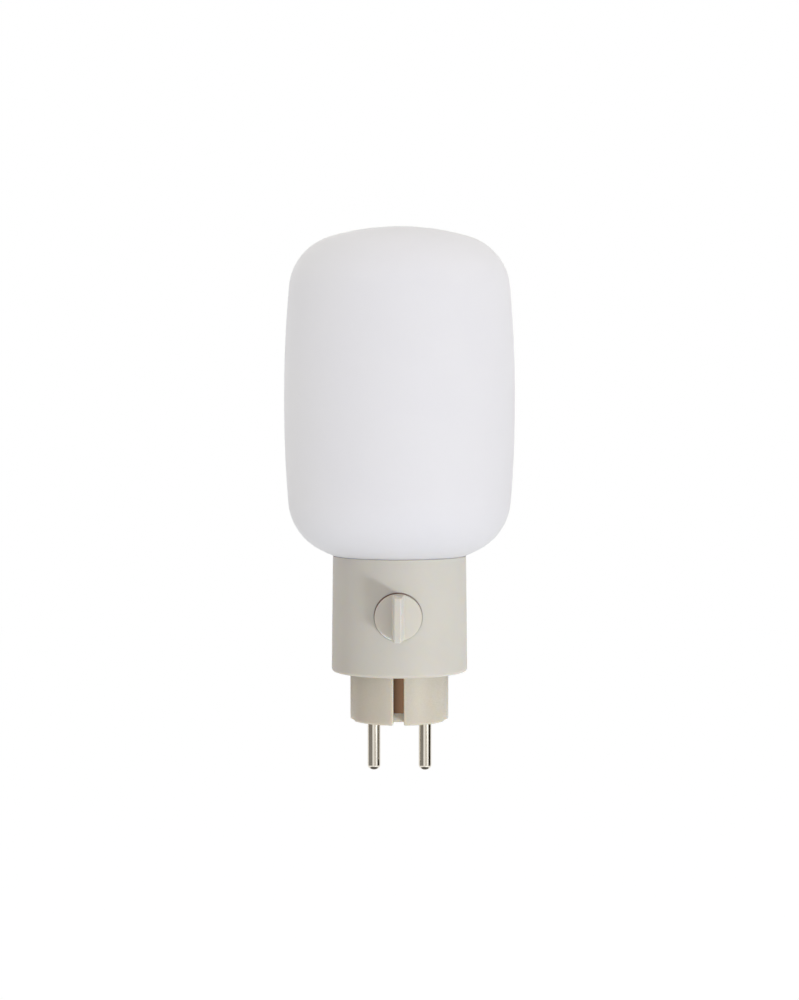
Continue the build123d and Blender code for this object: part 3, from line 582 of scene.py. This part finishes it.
def ring_section(
    radius: float, inner: float, low: float, high: float, soft: float = 0.0
) -> list[Corner]:
    """Gives the closed section of a ring, with its two outer corners eased.

    Args:
        radius: the ring's outer radius.
        inner: its inner radius.
        low: the height of its lower face.
        high: the height of its upper face.
        soft: how far the outer corners are eased.

    Returns:
        The section's corners, in the frame's XZ plane.
    """
    return [
        (inner, 0, low),
        (radius - soft, 0, low),
        (radius, 0, low + soft),
        (radius, 0, high - soft),
        (radius - soft, 0, high),
        (inner, 0, high),
    ]


def round_section(radius: float, wire: float, points: int = 8) -> list[Corner]:
    """Gives the round section of a wire that runs at a radius, in the frame's XZ plane."""
    turns = [math.tau * point / points for point in range(points)]
    return [(radius + wire * math.cos(turn), 0, wire * math.sin(turn)) for turn in turns]


def half_round(width: float, height: float, sunk: float, points: int = 9) -> list[Corner]:
    """Gives the section of a half-round rib that stands on a face at y = 0 and faces -Y.

    Args:
        width: how wide the rib is.
        height: how far it stands out.
        sunk: how far its foot goes into what carries it.
        points: how many points its crown has.

    Returns:
        The section's corners, in the frame's XY plane.
    """
    turns = [math.pi * point / (points - 1) for point in range(points)]
    crown = [(-width / 2 * math.cos(turn), -height * math.sin(turn), 0) for turn in turns]
    return [*crown, (width / 2, sunk, 0), (-width / 2, sunk, 0)]


class Workpiece:
    """A piece modelled here, built from bodies swept through rows of frames."""

    def __init__(self, name: str) -> None:
        """Starts an empty piece.

        Args:
            name: the piece's name.
        """
        self.name = name
        self.shape = bmesh.new()

    def sweep(self, frames: Sequence[Matrix], section: Sequence[Corner], closed: bool = False) -> None:
        """Adds a body whose section is carried through the frames.

        Args:
            frames: where the section stands, in order.
            section: the section's corners in each frame.
            closed: whether the last frame falls on the first, as in a full circle.
        """
        kept = frames[:-1] if closed else frames
        rings = [[self.shape.verts.new(place @ Vector(corner)) for corner in section] for place in kept]
        following = rings[1:] + rings[:1] if closed else rings[1:]
        for ring, after in zip(rings, following):
            for corner in range(len(section)):
                side = (corner + 1) % len(section)
                self.shape.faces.new((ring[corner], ring[side], after[side], after[corner]))
        if not closed:
            self.shape.faces.new(reversed(rings[0]))
            self.shape.faces.new(rings[-1])

    def plate(self, base: Matrix, size: Corner, ease: float) -> None:
        """Adds a block with eased edges, its middle at the frame's origin.

        Args:
            base: where it stands.
            size: its size along the frame's axes.
            ease: how far its edges are bevelled.
        """
        block = bmesh.ops.create_cube(self.shape, size=1.0, matrix=base @ Matrix.Diagonal((*size, 1)))
        edges = {edge for vert in block["verts"] for edge in vert.link_edges}
        bmesh.ops.bevel(self.shape, geom=list(edges), offset=ease, segments=2, affect="EDGES")

    def finish(self, finish: Finish, body: str, slot: str, stands_for: Iterable[str] = ()) -> None:
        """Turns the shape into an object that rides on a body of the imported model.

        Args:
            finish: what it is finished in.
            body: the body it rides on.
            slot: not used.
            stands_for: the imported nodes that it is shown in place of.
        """
        bmesh.ops.recalc_face_normals(self.shape, faces=self.shape.faces)
        mesh = bpy.data.meshes.new(self.name)
        self.shape.to_mesh(mesh)
        self.shape.free()
        dress(mesh, finish)
        mesh.shade_smooth()
        mesh.set_sharp_from_angle(angle=SMOOTH_ANGLE)
        piece = bpy.data.objects.new(self.name, mesh)
        bpy.context.scene.collection.objects.link(piece)
        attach(piece, body)
        if stands_for:
            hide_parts(*stands_for)
        LOG.info("piece %s: %d faces, rides on %s", self.name, len(mesh.polygons), body)


def spot(x: float, y: float, z: float) -> Matrix:
    """Gives an upright frame at a point."""
    return Matrix.Translation((x, y, z))


def middle(node: str) -> Vector:
    """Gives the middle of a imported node's box."""
    low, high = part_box(node)
    return (Vector(low) + Vector(high)) / 2


def half_sizes(node: str) -> tuple[float, ...]:
    """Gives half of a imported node's size along X, Y and Z."""
    low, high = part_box(node)
    return tuple((top - bottom) / 2 for bottom, top in zip(low, high))


@dataclass
class SubAssembly:
    """Some of the lamp's pieces that belong together and ride on one body."""

    body: ClassVar[str] = "lamp_base"
    finishes: ClassVar[dict[str, Finish]] = {}

    def build(self) -> None:
        """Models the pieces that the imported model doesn't hold."""

    def dress_nodes(self) -> None:
        """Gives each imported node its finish."""
        for node, finish in self.finishes.items():
            dress(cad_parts[node].data, finish)
            LOG.info("node %s: %s", node, finish.name)


@dataclass
class MainsPlug(SubAssembly):
    """Round plug with two pins and two earth strips."""

    finishes: ClassVar[dict[str, Finish]] = {
        "plug_base": PLUG_PLASTIC,
        "live_pin": PIN_NICKEL,
        "neutral_pin": PIN_NICKEL,
        "earth_contacts": EARTH_BRONZE,
    }


@dataclass
class Housing(SubAssembly):
    """Round housing and the two long screws that hold it to the plug."""

    screw_radius: float = 1.45 * MM
    thread_height: float = 0.18 * MM
    thread_pitch: float = 1.25 * MM
    thread_turns: int = 10
    thread_land: float = 0.12 * MM
    thread_steps: int = 24
    point_length: float = 1.8 * MM
    finishes: ClassVar[dict[str, Finish]] = {
        "base_housing": HOUSING_PLASTIC,
        "assembly_screws": SCREW_STEEL,
    }

    def build(self) -> None:
        """Cuts the thread on both screws, where they bite into the plug's bosses."""
        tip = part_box("assembly_screws")[0][2]
        half_row, head_radius, _ = half_sizes("assembly_screws")
        reach = half_row - head_radius
        rise = self.thread_pitch * self.thread_turns
        flank = self.thread_pitch / 3
        section = [
            (self.screw_radius - self.thread_height / 2, 0, -flank),
            (self.screw_radius + self.thread_height, 0, -self.thread_land / 2),
            (self.screw_radius + self.thread_height, 0, self.thread_land / 2),
            (self.screw_radius - self.thread_height / 2, 0, flank),
        ]
        thread = Workpiece("screw_threads")
        for side in (-1, 1):
            base = spot(side * reach, 0, tip + self.point_length)
            thread.sweep(turned(base, self.thread_turns, rise, self.thread_steps), section)
        thread.finish(SCREW_STEEL, self.body, "screw_steel")


@dataclass
class Dimmer(SubAssembly):
    """Potentiometer behind the knob, with its nut, track and terminals."""

    track_radius: float = 6.2 * MM
    track_width: float = 2.0 * MM
    track_height: float = 0.05 * MM
    track_turns: float = 0.78
    track_steps: int = 60
    finishes: ClassVar[dict[str, Finish]] = {
        "pot_case": WorkedMetal("pot_metal", (0.66, 0.66, 0.66), 0.3, Grain.ROUND_Y),
        "pot_nut": WorkedMetal("nut_metal", (0.70, 0.69, 0.66), 0.25, Grain.ROUND_Y),
        "pot_washer": WorkedMetal("washer_steel", (0.60, 0.60, 0.60), 0.32, Grain.ROUND_Y),
        "pot_track": Coated("pot_phenolic", (0.26, 0.15, 0.08), 0.5),
        "pot_terminals": WorkedMetal("terminal_tin", (0.74, 0.73, 0.70), 0.25),
    }

    def build(self) -> None:
        """Prints the carbon track on the phenolic disc."""
        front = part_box("pot_track")[0][1]
        axis = middle("pot_case")
        facing = Matrix.Rotation(math.pi / 2, 4, "X")
        start = Matrix.Rotation(math.pi / 2 + math.pi * (1 - self.track_turns), 4, "Z")
        base = spot(axis.x, front, axis.z) @ facing @ start
        inner = self.track_radius - self.track_width
        track = Workpiece("carbon_track")
        track.sweep(
            turned(base, self.track_turns, 0.0, self.track_steps),
            ring_section(self.track_radius, inner, -self.track_height, self.track_height),
        )
        track.finish(Coated("carbon", (0.03, 0.03, 0.03), 0.45), self.body, "component_black")


@dataclass
class FeltRing(SubAssembly):
    """Felt ring that fills the slit round the knob, just under the housing's curved face; its colour
    paints the slit's shade.
    """

    slit: float = 0.35 * MM
    sag: float = 0.2 * MM
    clearance: float = 0.05 * MM
    sunk: float = 0.4 * MM
    thickness: float = 1.0 * MM
    steps: int = 96

    def build(self) -> None:
        """Fills the slit, which is wider above the knob than under it."""
        knob = half_sizes("dimmer_knob")[0]
        inner = knob + self.clearance
        bore = knob + self.slit
        centre = middle("dimmer_knob").z
        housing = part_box("base_housing")[1][0]
        frames = []
        for step in range(self.steps + 1):
            turn = math.tau * step / self.steps
            chord = math.sqrt(bore**2 - (self.sag * math.sin(turn)) ** 2)
            across = self.sag * math.cos(turn) + chord - inner
            side = inner * math.sin(turn)
            face = -math.sqrt(housing**2 - side**2) + self.sunk
            place = spot(side, face, centre + inner * math.cos(turn))
            frames.append(place @ Matrix.Rotation(turn, 4, "Y") @ Matrix.Diagonal((1, 1, across, 1)))
        ring = Workpiece("knob_felt")
        # One unit wide, because each frame scales it to the slit's width at that place
        section = [(0, 0, 0), (0, 0, 1), (0, self.thickness, 1), (0, self.thickness, 0)]
        ring.sweep(frames, section, closed=True)
        ring.finish(FELT, self.body, "pot_phenolic")


@dataclass
class Knob(SubAssembly):
    """Dimmer knob with the shaft and the wiper that turn with it."""

    body: ClassVar[str] = "knob"
    finishes: ClassVar[dict[str, Finish]] = {
        "dimmer_knob": KNOB_PLASTIC,
        "pot_shaft": WorkedMetal("shaft_metal", (0.72, 0.72, 0.72), 0.22, Grain.ROUND_Y),
        "pot_wiper": Coated("wiper_nylon", (0.75, 0.75, 0.70), 0.45),
    }


class Band(Enum):
    """Bands of a resistor's colour code: name, distance from the resistor's middle, colour."""

    FIRST = ("bands_brown", -1.8 * MM, (0.20, 0.08, 0.03))
    SECOND = ("bands_black", -0.7 * MM, (0.03, 0.03, 0.03))
    MULTIPLIER = ("bands_orange", 0.4 * MM, (0.70, 0.22, 0.03))
    TOLERANCE = ("bands_gold", 1.9 * MM, (0.55, 0.38, 0.10))


@dataclass
class ControlBoard(SubAssembly):
    """Round circuit board with the dimmer's parts, the choke's wire, solder, bands and tracks."""

    wire: float = 0.2 * MM
    wire_gap: float = 0.03 * MM
    wire_steps: int = 36
    fillet_radius: float = 1.1 * MM
    fillet_height: float = 0.7 * MM
    fillet_tip: float = 0.35 * MM
    fillet_waist: float = 0.62
    fillet_knee: float = 0.35
    fillet_steps: int = 20
    track_width: float = 1.6 * MM
    track_height: float = 0.05 * MM
    track_starts: tuple[float, float] = (0.06, 0.56)
    track_turns: float = 0.36
    track_steps: int = 90
    cap_length: float = 1.7 * MM
    cap_wall: float = 0.08 * MM
    fuse_wire: float = 1.2 * MM
    resistor_radius: float = 1.2 * MM
    band_width: float = 0.55 * MM
    band_height: float = 0.03 * MM
    band_steps: int = 32
    finishes: ClassVar[dict[str, Finish]] = {
        "control_board": Coated("board_laminate", (0.05, 0.22, 0.10), 0.35, coat=0.4),
        "solder_joints": SOLDER,
        "choke_core": Coated("ferrite", (0.05, 0.05, 0.055), 0.6),
        "filter_capacitor": Coated("capacitor_case", (0.75, 0.52, 0.10), 0.35),
        "timing_capacitor": Coated("film_capacitor_case", (0.45, 0.10, 0.06), 0.3, coat=0.5),
        "triac": Coated("component_black", (0.04, 0.04, 0.042), 0.5),
        "line_fuse": Coated("fuse_body", (0.75, 0.72, 0.64), 0.4),
        "diac": Coated("diac_glass", (0.10, 0.20, 0.42), 0.2, coat=0.8),
        "resistors": Coated("resistor_body", (0.30, 0.46, 0.55), 0.3, coat=0.5),
    }

    def build(self) -> None:
        """Models the fine pieces of the board."""
        self._wind_choke()
        self._solder()
        self._tracks()
        self._cap_fuse()
        for band in Band:
            self._paint_bands(band)

    def _wind_choke(self) -> None:
        """Winds the choke's wire in close turns round a wound body, in place of the ribbed solid."""
        low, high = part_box("choke_winding")
        centre = middle("choke_winding")
        radius = (high[0] - low[0]) / 2 - self.wire
        height = high[2] - low[2]
        pitch = 2 * self.wire + self.wire_gap
        turns = (height - 2 * self.wire) / pitch
        winding = Workpiece("choke_wire")
        foot = spot(centre.x, centre.y, low[2] + self.wire)
        winding.sweep(
            turned(foot, turns, height - 2 * self.wire, self.wire_steps),
            round_section(radius, self.wire),
        )
        core = (high[0] - low[0]) / 4
        winding.sweep(
            turned(spot(centre.x, centre.y, 0)),
            ring_section(radius, core, low[2], high[2]),
            closed=True,
        )
        winding.finish(COPPER_WIRE, self.body, "copper_wire", ("choke_winding",))
        LOG.info("choke: %.0f turns of wire", turns)

    def _solder(self) -> None:
        """Puts a solder fillet under the board at each terminal and each lead."""
        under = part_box("control_board")[0][2]
        row = middle("pot_terminals")
        terminal_reach = half_sizes("pot_terminals")[0] - self.fillet_tip
        half_row, lead_radius, _ = half_sizes("holder_leads")
        lead_reach = half_row - lead_radius
        places = [(side * terminal_reach, row.y) for side in (-1, 0, 1)]
        places += [(side * lead_reach, 0.0) for side in (-1, 1)]
        section = [
            (0, 0, 0),
            (self.fillet_radius, 0, 0),
            (self.fillet_radius * self.fillet_waist, 0, -self.fillet_height * self.fillet_knee),
            (self.fillet_tip, 0, -self.fillet_height),
            (0, 0, -self.fillet_height),
        ]
        fillets = Workpiece("solder_fillets")
        for x, y in places:
            fillets.sweep(turned(spot(x, y, under), steps=self.fillet_steps), section, closed=True)
        fillets.finish(SOLDER, self.body, "solder")

    def _tracks(self) -> None:
        """Lays the masked copper tracks on the board's underside, each an arc round the middle."""
        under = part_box("control_board")[0][2]
        edge = half_sizes("control_board")[0] - self.track_width
        tracks = Workpiece("board_tracks")
        for number, start in enumerate(self.track_starts):
            radius = edge - number * self.track_width / 2
            base = spot(0, 0, under) @ Matrix.Rotation(math.tau * start, 4, "Z")
            tracks.sweep(
                turned(base, self.track_turns, 0.0, self.track_steps),
                ring_section(radius, radius - self.track_width, -self.track_height, self.track_height),
            )
        tracks.finish(TRACK_COPPER, self.body, "board_laminate")

    def _cap_fuse(self) -> None:
        """Presses a metal cap on each end of the fuse's ceramic tube."""
        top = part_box("line_fuse")[1][2]
        centre = middle("line_fuse")
        half_length, radius, _ = half_sizes("line_fuse")
        reach = half_length - self.fuse_wire - self.cap_length / 2
        along = Matrix.Rotation(math.pi / 2, 4, "Y")
        section = ring_section(
            radius + self.cap_wall,
            radius / 3,
            -self.cap_length / 2,
            self.cap_length / 2,
            self.cap_wall,
        )
        caps = Workpiece("fuse_caps")
        for side in (-1, 1):
            base = spot(centre.x + side * reach, centre.y, top - radius) @ along
            caps.sweep(turned(base), section, closed=True)
        caps.finish(FUSE_CAP, self.body, "solder")

    @staticmethod
    def _resistor_spots() -> list[tuple[float, float]]:
        """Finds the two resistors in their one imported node, where one lies behind the other.

        Returns:
            The middle of each along X and Y, the one behind first.
        """
        parting = middle("resistors").y
        corners = [vert.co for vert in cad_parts["resistors"].data.vertices]
        spots = []
        for behind in (True, False):
            own = [corner for corner in corners if (corner.y > parting) == behind]
            xs = [corner.x for corner in own]
            ys = [corner.y for corner in own]
            spots.append(((min(xs) + max(xs)) / 2, (min(ys) + max(ys)) / 2))
        return spots

    def _paint_bands(self, band: Band) -> None:
        """Paints one band of the colour code round both resistors.

        Args:
            band: which band it is.
        """
        name, along, colour = band.value
        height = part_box("control_board")[1][2] + self.resistor_radius
        section = ring_section(
            self.resistor_radius + self.band_height,
            self.resistor_radius - self.band_height,
            -self.band_width / 2,
            self.band_width / 2,
        )
        bands = Workpiece(name)
        for x, y in self._resistor_spots():
            axis = spot(x + along, y, height) @ Matrix.Rotation(math.pi / 2, 4, "Y")
            bands.sweep(turned(axis, steps=self.band_steps), section, closed=True)
        bands.finish(Coated(name, colour, 0.3, coat=0.5), self.body, "resistor_body")


@dataclass
class LampHolder(SubAssembly):
    """Ceramic holder with its contacts, clip and leads."""

    finishes: ClassVar[dict[str, Finish]] = {
        "lamp_holder": Coated("holder_ceramic", (0.80, 0.78, 0.73), 0.55, grain_depth=0.02 * MM),
        "holder_contacts": WorkedMetal("contact_metal", (0.75, 0.62, 0.36), 0.22),
        "holder_clip": WorkedMetal("clip_steel", (0.55, 0.55, 0.56), 0.3),
        "holder_leads": Coated("lead_insulation", (0.78, 0.77, 0.74), 0.55),
    }


@dataclass
class PlugInBulb(SubAssembly):
    """Two-pin bulb with grip ribs on its collar and a frame round each light chip."""

    rib_count: int = 28
    rib_width: float = 0.8 * MM
    rib_height: float = 0.3 * MM
    rib_end: float = 0.35 * MM
    rib_steps: int = 3
    collar: float = 4.0 * MM
    collar_margin: float = 0.6 * MM
    chip_width: float = 3.0 * MM
    chip_height: float = 3.4 * MM
    chip_rows: int = 4
    frame_wall: float = 0.4 * MM
    frame_height: float = 0.5 * MM
    frame_ease: float = 0.08 * MM
    body: ClassVar[str] = "bulb"
    finishes: ClassVar[dict[str, Finish]] = {
        "bulb_base": BULB_PLASTIC,
        "bulb_pins": PIN_NICKEL,
        "bulb_cover": FrostedCover("bulb_cover_frost", (0.86, 0.85, 0.81)),
        "led_carrier": WorkedMetal("carrier_aluminium", (0.80, 0.80, 0.80), 0.35),
        "led_chips": Coated("led_phosphor", (0.80, 0.62, 0.10), 0.45),
    }

    def build(self) -> None:
        """Models the grip ribs and the chips' frames."""
        self._rib_collar()
        self._frame_chips()

    def _rib_collar(self) -> None:
        """Sets the grip ribs round the collar, under the cover."""
        radius = half_sizes("bulb_base")[1]
        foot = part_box("bulb_cover")[0][2] - self.collar + self.collar_margin
        length = self.collar - 2 * self.collar_margin
        section = half_round(self.rib_width, self.rib_height, self.rib_height)
        ribs = Workpiece("collar_ribs")
        for number in range(self.rib_count):
            base = Matrix.Rotation(math.tau * number / self.rib_count, 4, "Z") @ spot(0, -radius, foot)
            ribs.sweep(tapered(base, length, self.rib_end, self.rib_steps), section)
        ribs.finish(BULB_PLASTIC, self.body, "bulb_plastic")

    def _frame_chips(self) -> None:
        """Sets a white frame round each chip on the carrier's four faces."""
        low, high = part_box("led_chips")
        face = half_sizes("led_carrier")[1] + self.frame_height / 2
        pitch = (high[2] - low[2] - self.chip_height) / (self.chip_rows - 1)
        width = (self.chip_width + self.frame_wall) / 2
        height = (self.chip_height + self.frame_wall) / 2
        post = (self.frame_wall, self.frame_height, self.chip_height + 2 * self.frame_wall)
        rail = (self.chip_width, self.frame_height, self.frame_wall)
        frames = Workpiece("chip_frames")
        for side in range(4):
            turn = Matrix.Rotation(math.pi / 2 * side, 4, "Z")
            for row in range(self.chip_rows):
                base = turn @ spot(0, -face, low[2] + self.chip_height / 2 + row * pitch)
                for way in (-1, 1):
                    frames.plate(base @ spot(way * width, 0, 0), post, self.frame_ease)
                    frames.plate(base @ spot(0, 0, way * height), rail, self.frame_ease)
        frames.finish(BULB_PLASTIC, self.body, "bulb_plastic")


@dataclass
class Shade(SubAssembly):
    """Opal glass with the silicone sleeve that holds its neck."""

    body: ClassVar[str] = "shade"
    finishes: ClassVar[dict[str, Finish]] = {
        "glass_shade": OPAL_GLASS,
        "neck_sleeve": Coated("sleeve_silicone", (0.70, 0.69, 0.66), 0.55),
    }


@dataclass(frozen=True)
class Card:
    """A curved card round the lamp that only gloss shows, between two edges given as reach and height."""

    name: str
    azimuth: float
    spread: float
    foot: tuple[float, float]
    head: tuple[float, float]
    glow: Colour
    steps: int = 24

    def _edge(self, sheet: bmesh.types.BMesh, reach: float, height: float) -> list[bmesh.types.BMVert]:
        """Adds one edge's corners.

        Args:
            sheet: the mesh that takes them.
            reach: how far the edge is from the lamp's axis.
            height: how high it is.

        Returns:
            The corners in order.
        """
        corners = []
        for step in range(self.steps + 1):
            turn = math.radians(self.azimuth + self.spread * (step / self.steps - 0.5))
            place = (reach * math.sin(turn), -reach * math.cos(turn), height)
            corners.append(sheet.verts.new(place))
        return corners

    def build(self) -> None:
        """Stands the card in the studio."""
        sheet = bmesh.new()
        feet = self._edge(sheet, *self.foot)
        heads = self._edge(sheet, *self.head)
        for step in range(self.steps):
            sheet.faces.new((feet[step], feet[step + 1], heads[step + 1], heads[step]))
        mesh = bpy.data.meshes.new(self.name)
        sheet.to_mesh(mesh)
        sheet.free()
        material = bpy.data.materials.new(self.name)
        material.use_nodes = True
        tree = material.node_tree
        tree.nodes.clear()
        shine = tree.nodes.new("ShaderNodeEmission")
        shine.inputs["Color"].default_value = (*self.glow, 1.0)
        output = tree.nodes.new("ShaderNodeOutputMaterial")
        tree.links.new(shine.outputs["Emission"], output.inputs["Surface"])
        mesh.materials.append(material)
        card = bpy.data.objects.new(self.name, mesh)
        bpy.context.scene.collection.objects.link(card)
        card.visible_camera = False
        card.visible_diffuse = False
        card.visible_transmission = False
        card.visible_shadow = False
        LOG.info("studio %s at %.0f degrees", self.name, self.azimuth)


class LitBy(Enum):
    """What a lamp lights."""

    GLASS_ALONE = "INCLUDE"
    ALL_BUT_GLASS = "EXCLUDE"


@dataclass(frozen=True)
class Lamp:
    """A soft round lamp, turned towards the knob, that gloss doesn't show."""

    name: str
    azimuth: float
    elevation: float
    power: float
    colour: Colour
    lit_by: LitBy
    size: float = 0.16
    distance: float = 1.1
    aim: Corner = (0.0, 0.0, 0.05)

    def build(self) -> None:
        """Hangs the lamp in the studio."""
        data = bpy.data.lights.new(self.name, "AREA")
        data.shape = "DISK"
        data.size = self.size
        data.energy = self.power
        data.color = self.colour
        lamp = bpy.data.objects.new(self.name, data)
        turn = math.radians(self.azimuth)
        lift = math.radians(self.elevation)
        level = math.cos(lift)
        away = Vector((math.sin(turn) * level, -math.cos(turn) * level, math.sin(lift)))
        lamp.location = Vector(self.aim) + away * self.distance
        lamp.rotation_euler = away.to_track_quat("Z", "Y").to_euler()
        lamp.visible_glossy = False
        bpy.context.scene.collection.objects.link(lamp)
        lit = bpy.data.collections.new(f"{self.name}_lit")
        lit.objects.link(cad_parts["glass_shade"])
        lit.collection_objects[0].light_linking.link_state = self.lit_by.value
        lamp.light_linking.receiver_collection = lit
        LOG.info("studio %s at %.0f degrees", self.name, self.azimuth)


@dataclass
class Studio:
    """White floor and world, a soft key lamp low on the right, a weaker one for the glass, and cards."""

    floor_z: float = -0.60
    floor_half: float = 6.0
    floor_shade: float = 0.9
    world_level: float = 0.80
    world_colour: Colour = (1.0, 0.98, 0.95)
    lamps: tuple[Lamp, ...] = (
        Lamp("key", 37.0, -20.0, 6.1, (0.89, 0.95, 1.0), LitBy.ALL_BUT_GLASS),
        Lamp("glass_key", 27.0, 0.0, 2.45, (0.92, 0.92, 1.0), LitBy.GLASS_ALONE),
    )
    card_reach: ClassVar[float] = 0.9
    low_edge: ClassVar[tuple[float, float]] = (card_reach, -0.40)
    middle_edge: ClassVar[tuple[float, float]] = (card_reach, -0.125)
    dark_glow: ClassVar[Colour] = (0.03, 0.025, 0.02)
    cards: tuple[Card, ...] = (
        Card("left_low_card", -68.0, 84.0, low_edge, middle_edge, (0.28, 0.275, 0.265)),
        Card("left_card", -93.0, 130.0, middle_edge, (card_reach, 0.0), (0.16, 0.11, 0.07)),
        Card("front_low_card", 20.0, 30.0, low_edge, middle_edge, (0.64, 0.62, 0.59)),
        Card("bright_low_card", 48.0, 16.0, low_edge, middle_edge, (1.1, 1.15, 1.2)),
        Card("bright_card", 44.0, 22.0, middle_edge, (card_reach, -0.01), (4.0, 4.0, 4.0)),
        Card("right_low_card", 92.0, 50.0, low_edge, middle_edge, dark_glow),
        Card("right_card", 108.0, 90.0, middle_edge, (card_reach, 0.06), dark_glow),
        Card("low_card", 0.0, 360.0, (0.38, -0.42), (0.001, -0.42), (0.13, 0.125, 0.12)),
    )

    def build(self) -> None:
        """Builds the floor, the world, the lamps and the cards."""
        self._floor()
        self._world()
        for lamp in self.lamps:
            lamp.build()
        for card in self.cards:
            card.build()

    @staticmethod
    def _shown(tree: bpy.types.NodeTree) -> bpy.types.NodeSocket:
        """Adds a factor that is 1 for camera, glossy and transmission rays.

        Args:
            tree: the nodes that it is added to.

        Returns:
            The socket of the factor.
        """
        rays = tree.nodes.new("ShaderNodeLightPath")
        total = rays.outputs["Is Camera Ray"]
        for kind in ("Is Glossy Ray", "Is Transmission Ray"):
            either = tree.nodes.new("ShaderNodeMath")
            either.operation = "MAXIMUM"
            tree.links.new(total, either.inputs[0])
            tree.links.new(rays.outputs[kind], either.inputs[1])
            total = either.outputs["Value"]
        return total

    def _floor(self) -> None:
        """Lays a pale floor well under the pins, which takes the lamp's soft shadow."""
        mesh = bpy.data.meshes.new("studio_floor")
        half = self.floor_half
        corners = [(-half, -half, 0), (half, -half, 0), (half, half, 0), (-half, half, 0)]
        mesh.from_pydata(corners, [], [(0, 1, 2, 3)])
        floor = bpy.data.objects.new("studio_floor", mesh)
        floor.location.z = self.floor_z
        bpy.context.scene.collection.objects.link(floor)
        material = bpy.data.materials.new("studio_floor")
        material.use_nodes = True
        tree = material.node_tree
        tree.nodes.clear()
        output = tree.nodes.new("ShaderNodeOutputMaterial")
        matt = tree.nodes.new("ShaderNodeBsdfDiffuse")
        balanced = [self.floor_shade * min(self.world_colour) / channel for channel in self.world_colour]
        matt.inputs["Color"].default_value = (*balanced, 1.0)
        lift = tree.nodes.new("ShaderNodeEmission")
        level = tree.nodes.new("ShaderNodeMath")
        level.operation = "MULTIPLY"
        level.inputs[1].default_value = 1 - self.floor_shade * min(self.world_colour) * self.world_level
        both = tree.nodes.new("ShaderNodeAddShader")
        tree.links.new(self._shown(tree), level.inputs[0])
        tree.links.new(level.outputs["Value"], lift.inputs["Strength"])
        tree.links.new(matt.outputs["BSDF"], both.inputs[0])
        tree.links.new(lift.outputs["Emission"], both.inputs[1])
        tree.links.new(both.outputs["Shader"], output.inputs["Surface"])
        mesh.materials.append(material)
        LOG.info("studio floor at %.2f m", self.floor_z)

    def _world(self) -> None:
        """Lights the lamp evenly from all round, and shows white behind it."""
        world = bpy.data.worlds.new("studio")
        bpy.context.scene.world = world
        world.use_nodes = True
        tree = world.node_tree
        tree.nodes.clear()
        output = tree.nodes.new("ShaderNodeOutputWorld")
        light = tree.nodes.new("ShaderNodeBackground")
        light.inputs["Color"].default_value = (*self.world_colour, 1.0)
        light.inputs["Strength"].default_value = self.world_level
        white = tree.nodes.new("ShaderNodeBackground")
        white.inputs["Color"].default_value = (*WHITE, 1.0)
        white.inputs["Strength"].default_value = 1.0
        choice = tree.nodes.new("ShaderNodeMixShader")
        tree.links.new(self._shown(tree), choice.inputs["Fac"])
        tree.links.new(light.outputs["Background"], choice.inputs[1])
        tree.links.new(white.outputs["Background"], choice.inputs[2])
        tree.links.new(choice.outputs["Shader"], output.inputs["Surface"])


@dataclass
class Camera:
    """The photograph's viewpoint."""

    distance: float = 0.770
    height: float = 0.114
    azimuth: float = 1.1
    pitch: float = -2.416
    lens: float = 74.84
    sensor: float = 36.0
    near: float = 0.01
    far: float = 50.0

    def build(self) -> None:
        """Sets the scene's camera."""
        data = bpy.data.cameras.new("camera")
        data.lens = self.lens
        data.sensor_width = self.sensor
        data.clip_start = self.near
        data.clip_end = self.far
        camera = bpy.data.objects.new("camera", data)
        turn = math.radians(self.azimuth)
        camera.location = (self.distance * math.sin(turn), -self.distance * math.cos(turn), self.height)
        camera.rotation_euler = (math.pi / 2 + math.radians(self.pitch), 0, turn)
        bpy.context.scene.collection.objects.link(camera)
        bpy.context.scene.camera = camera


def main() -> None:
    """Builds the scene in order."""
    logging.basicConfig(level=logging.INFO, format="%(name)s: %(message)s")
    Camera().build()
    Studio().build()
    assemblies = (
        MainsPlug(),
        Housing(),
        Dimmer(),
        FeltRing(),
        Knob(),
        ControlBoard(),
        LampHolder(),
        PlugInBulb(),
        Shade(),
    )
    for assembly in assemblies:
        assembly.dress_nodes()
        assembly.build()
    bpy.context.scene.view_settings.view_transform = "Standard"


if __name__ == "__main__":
    main()
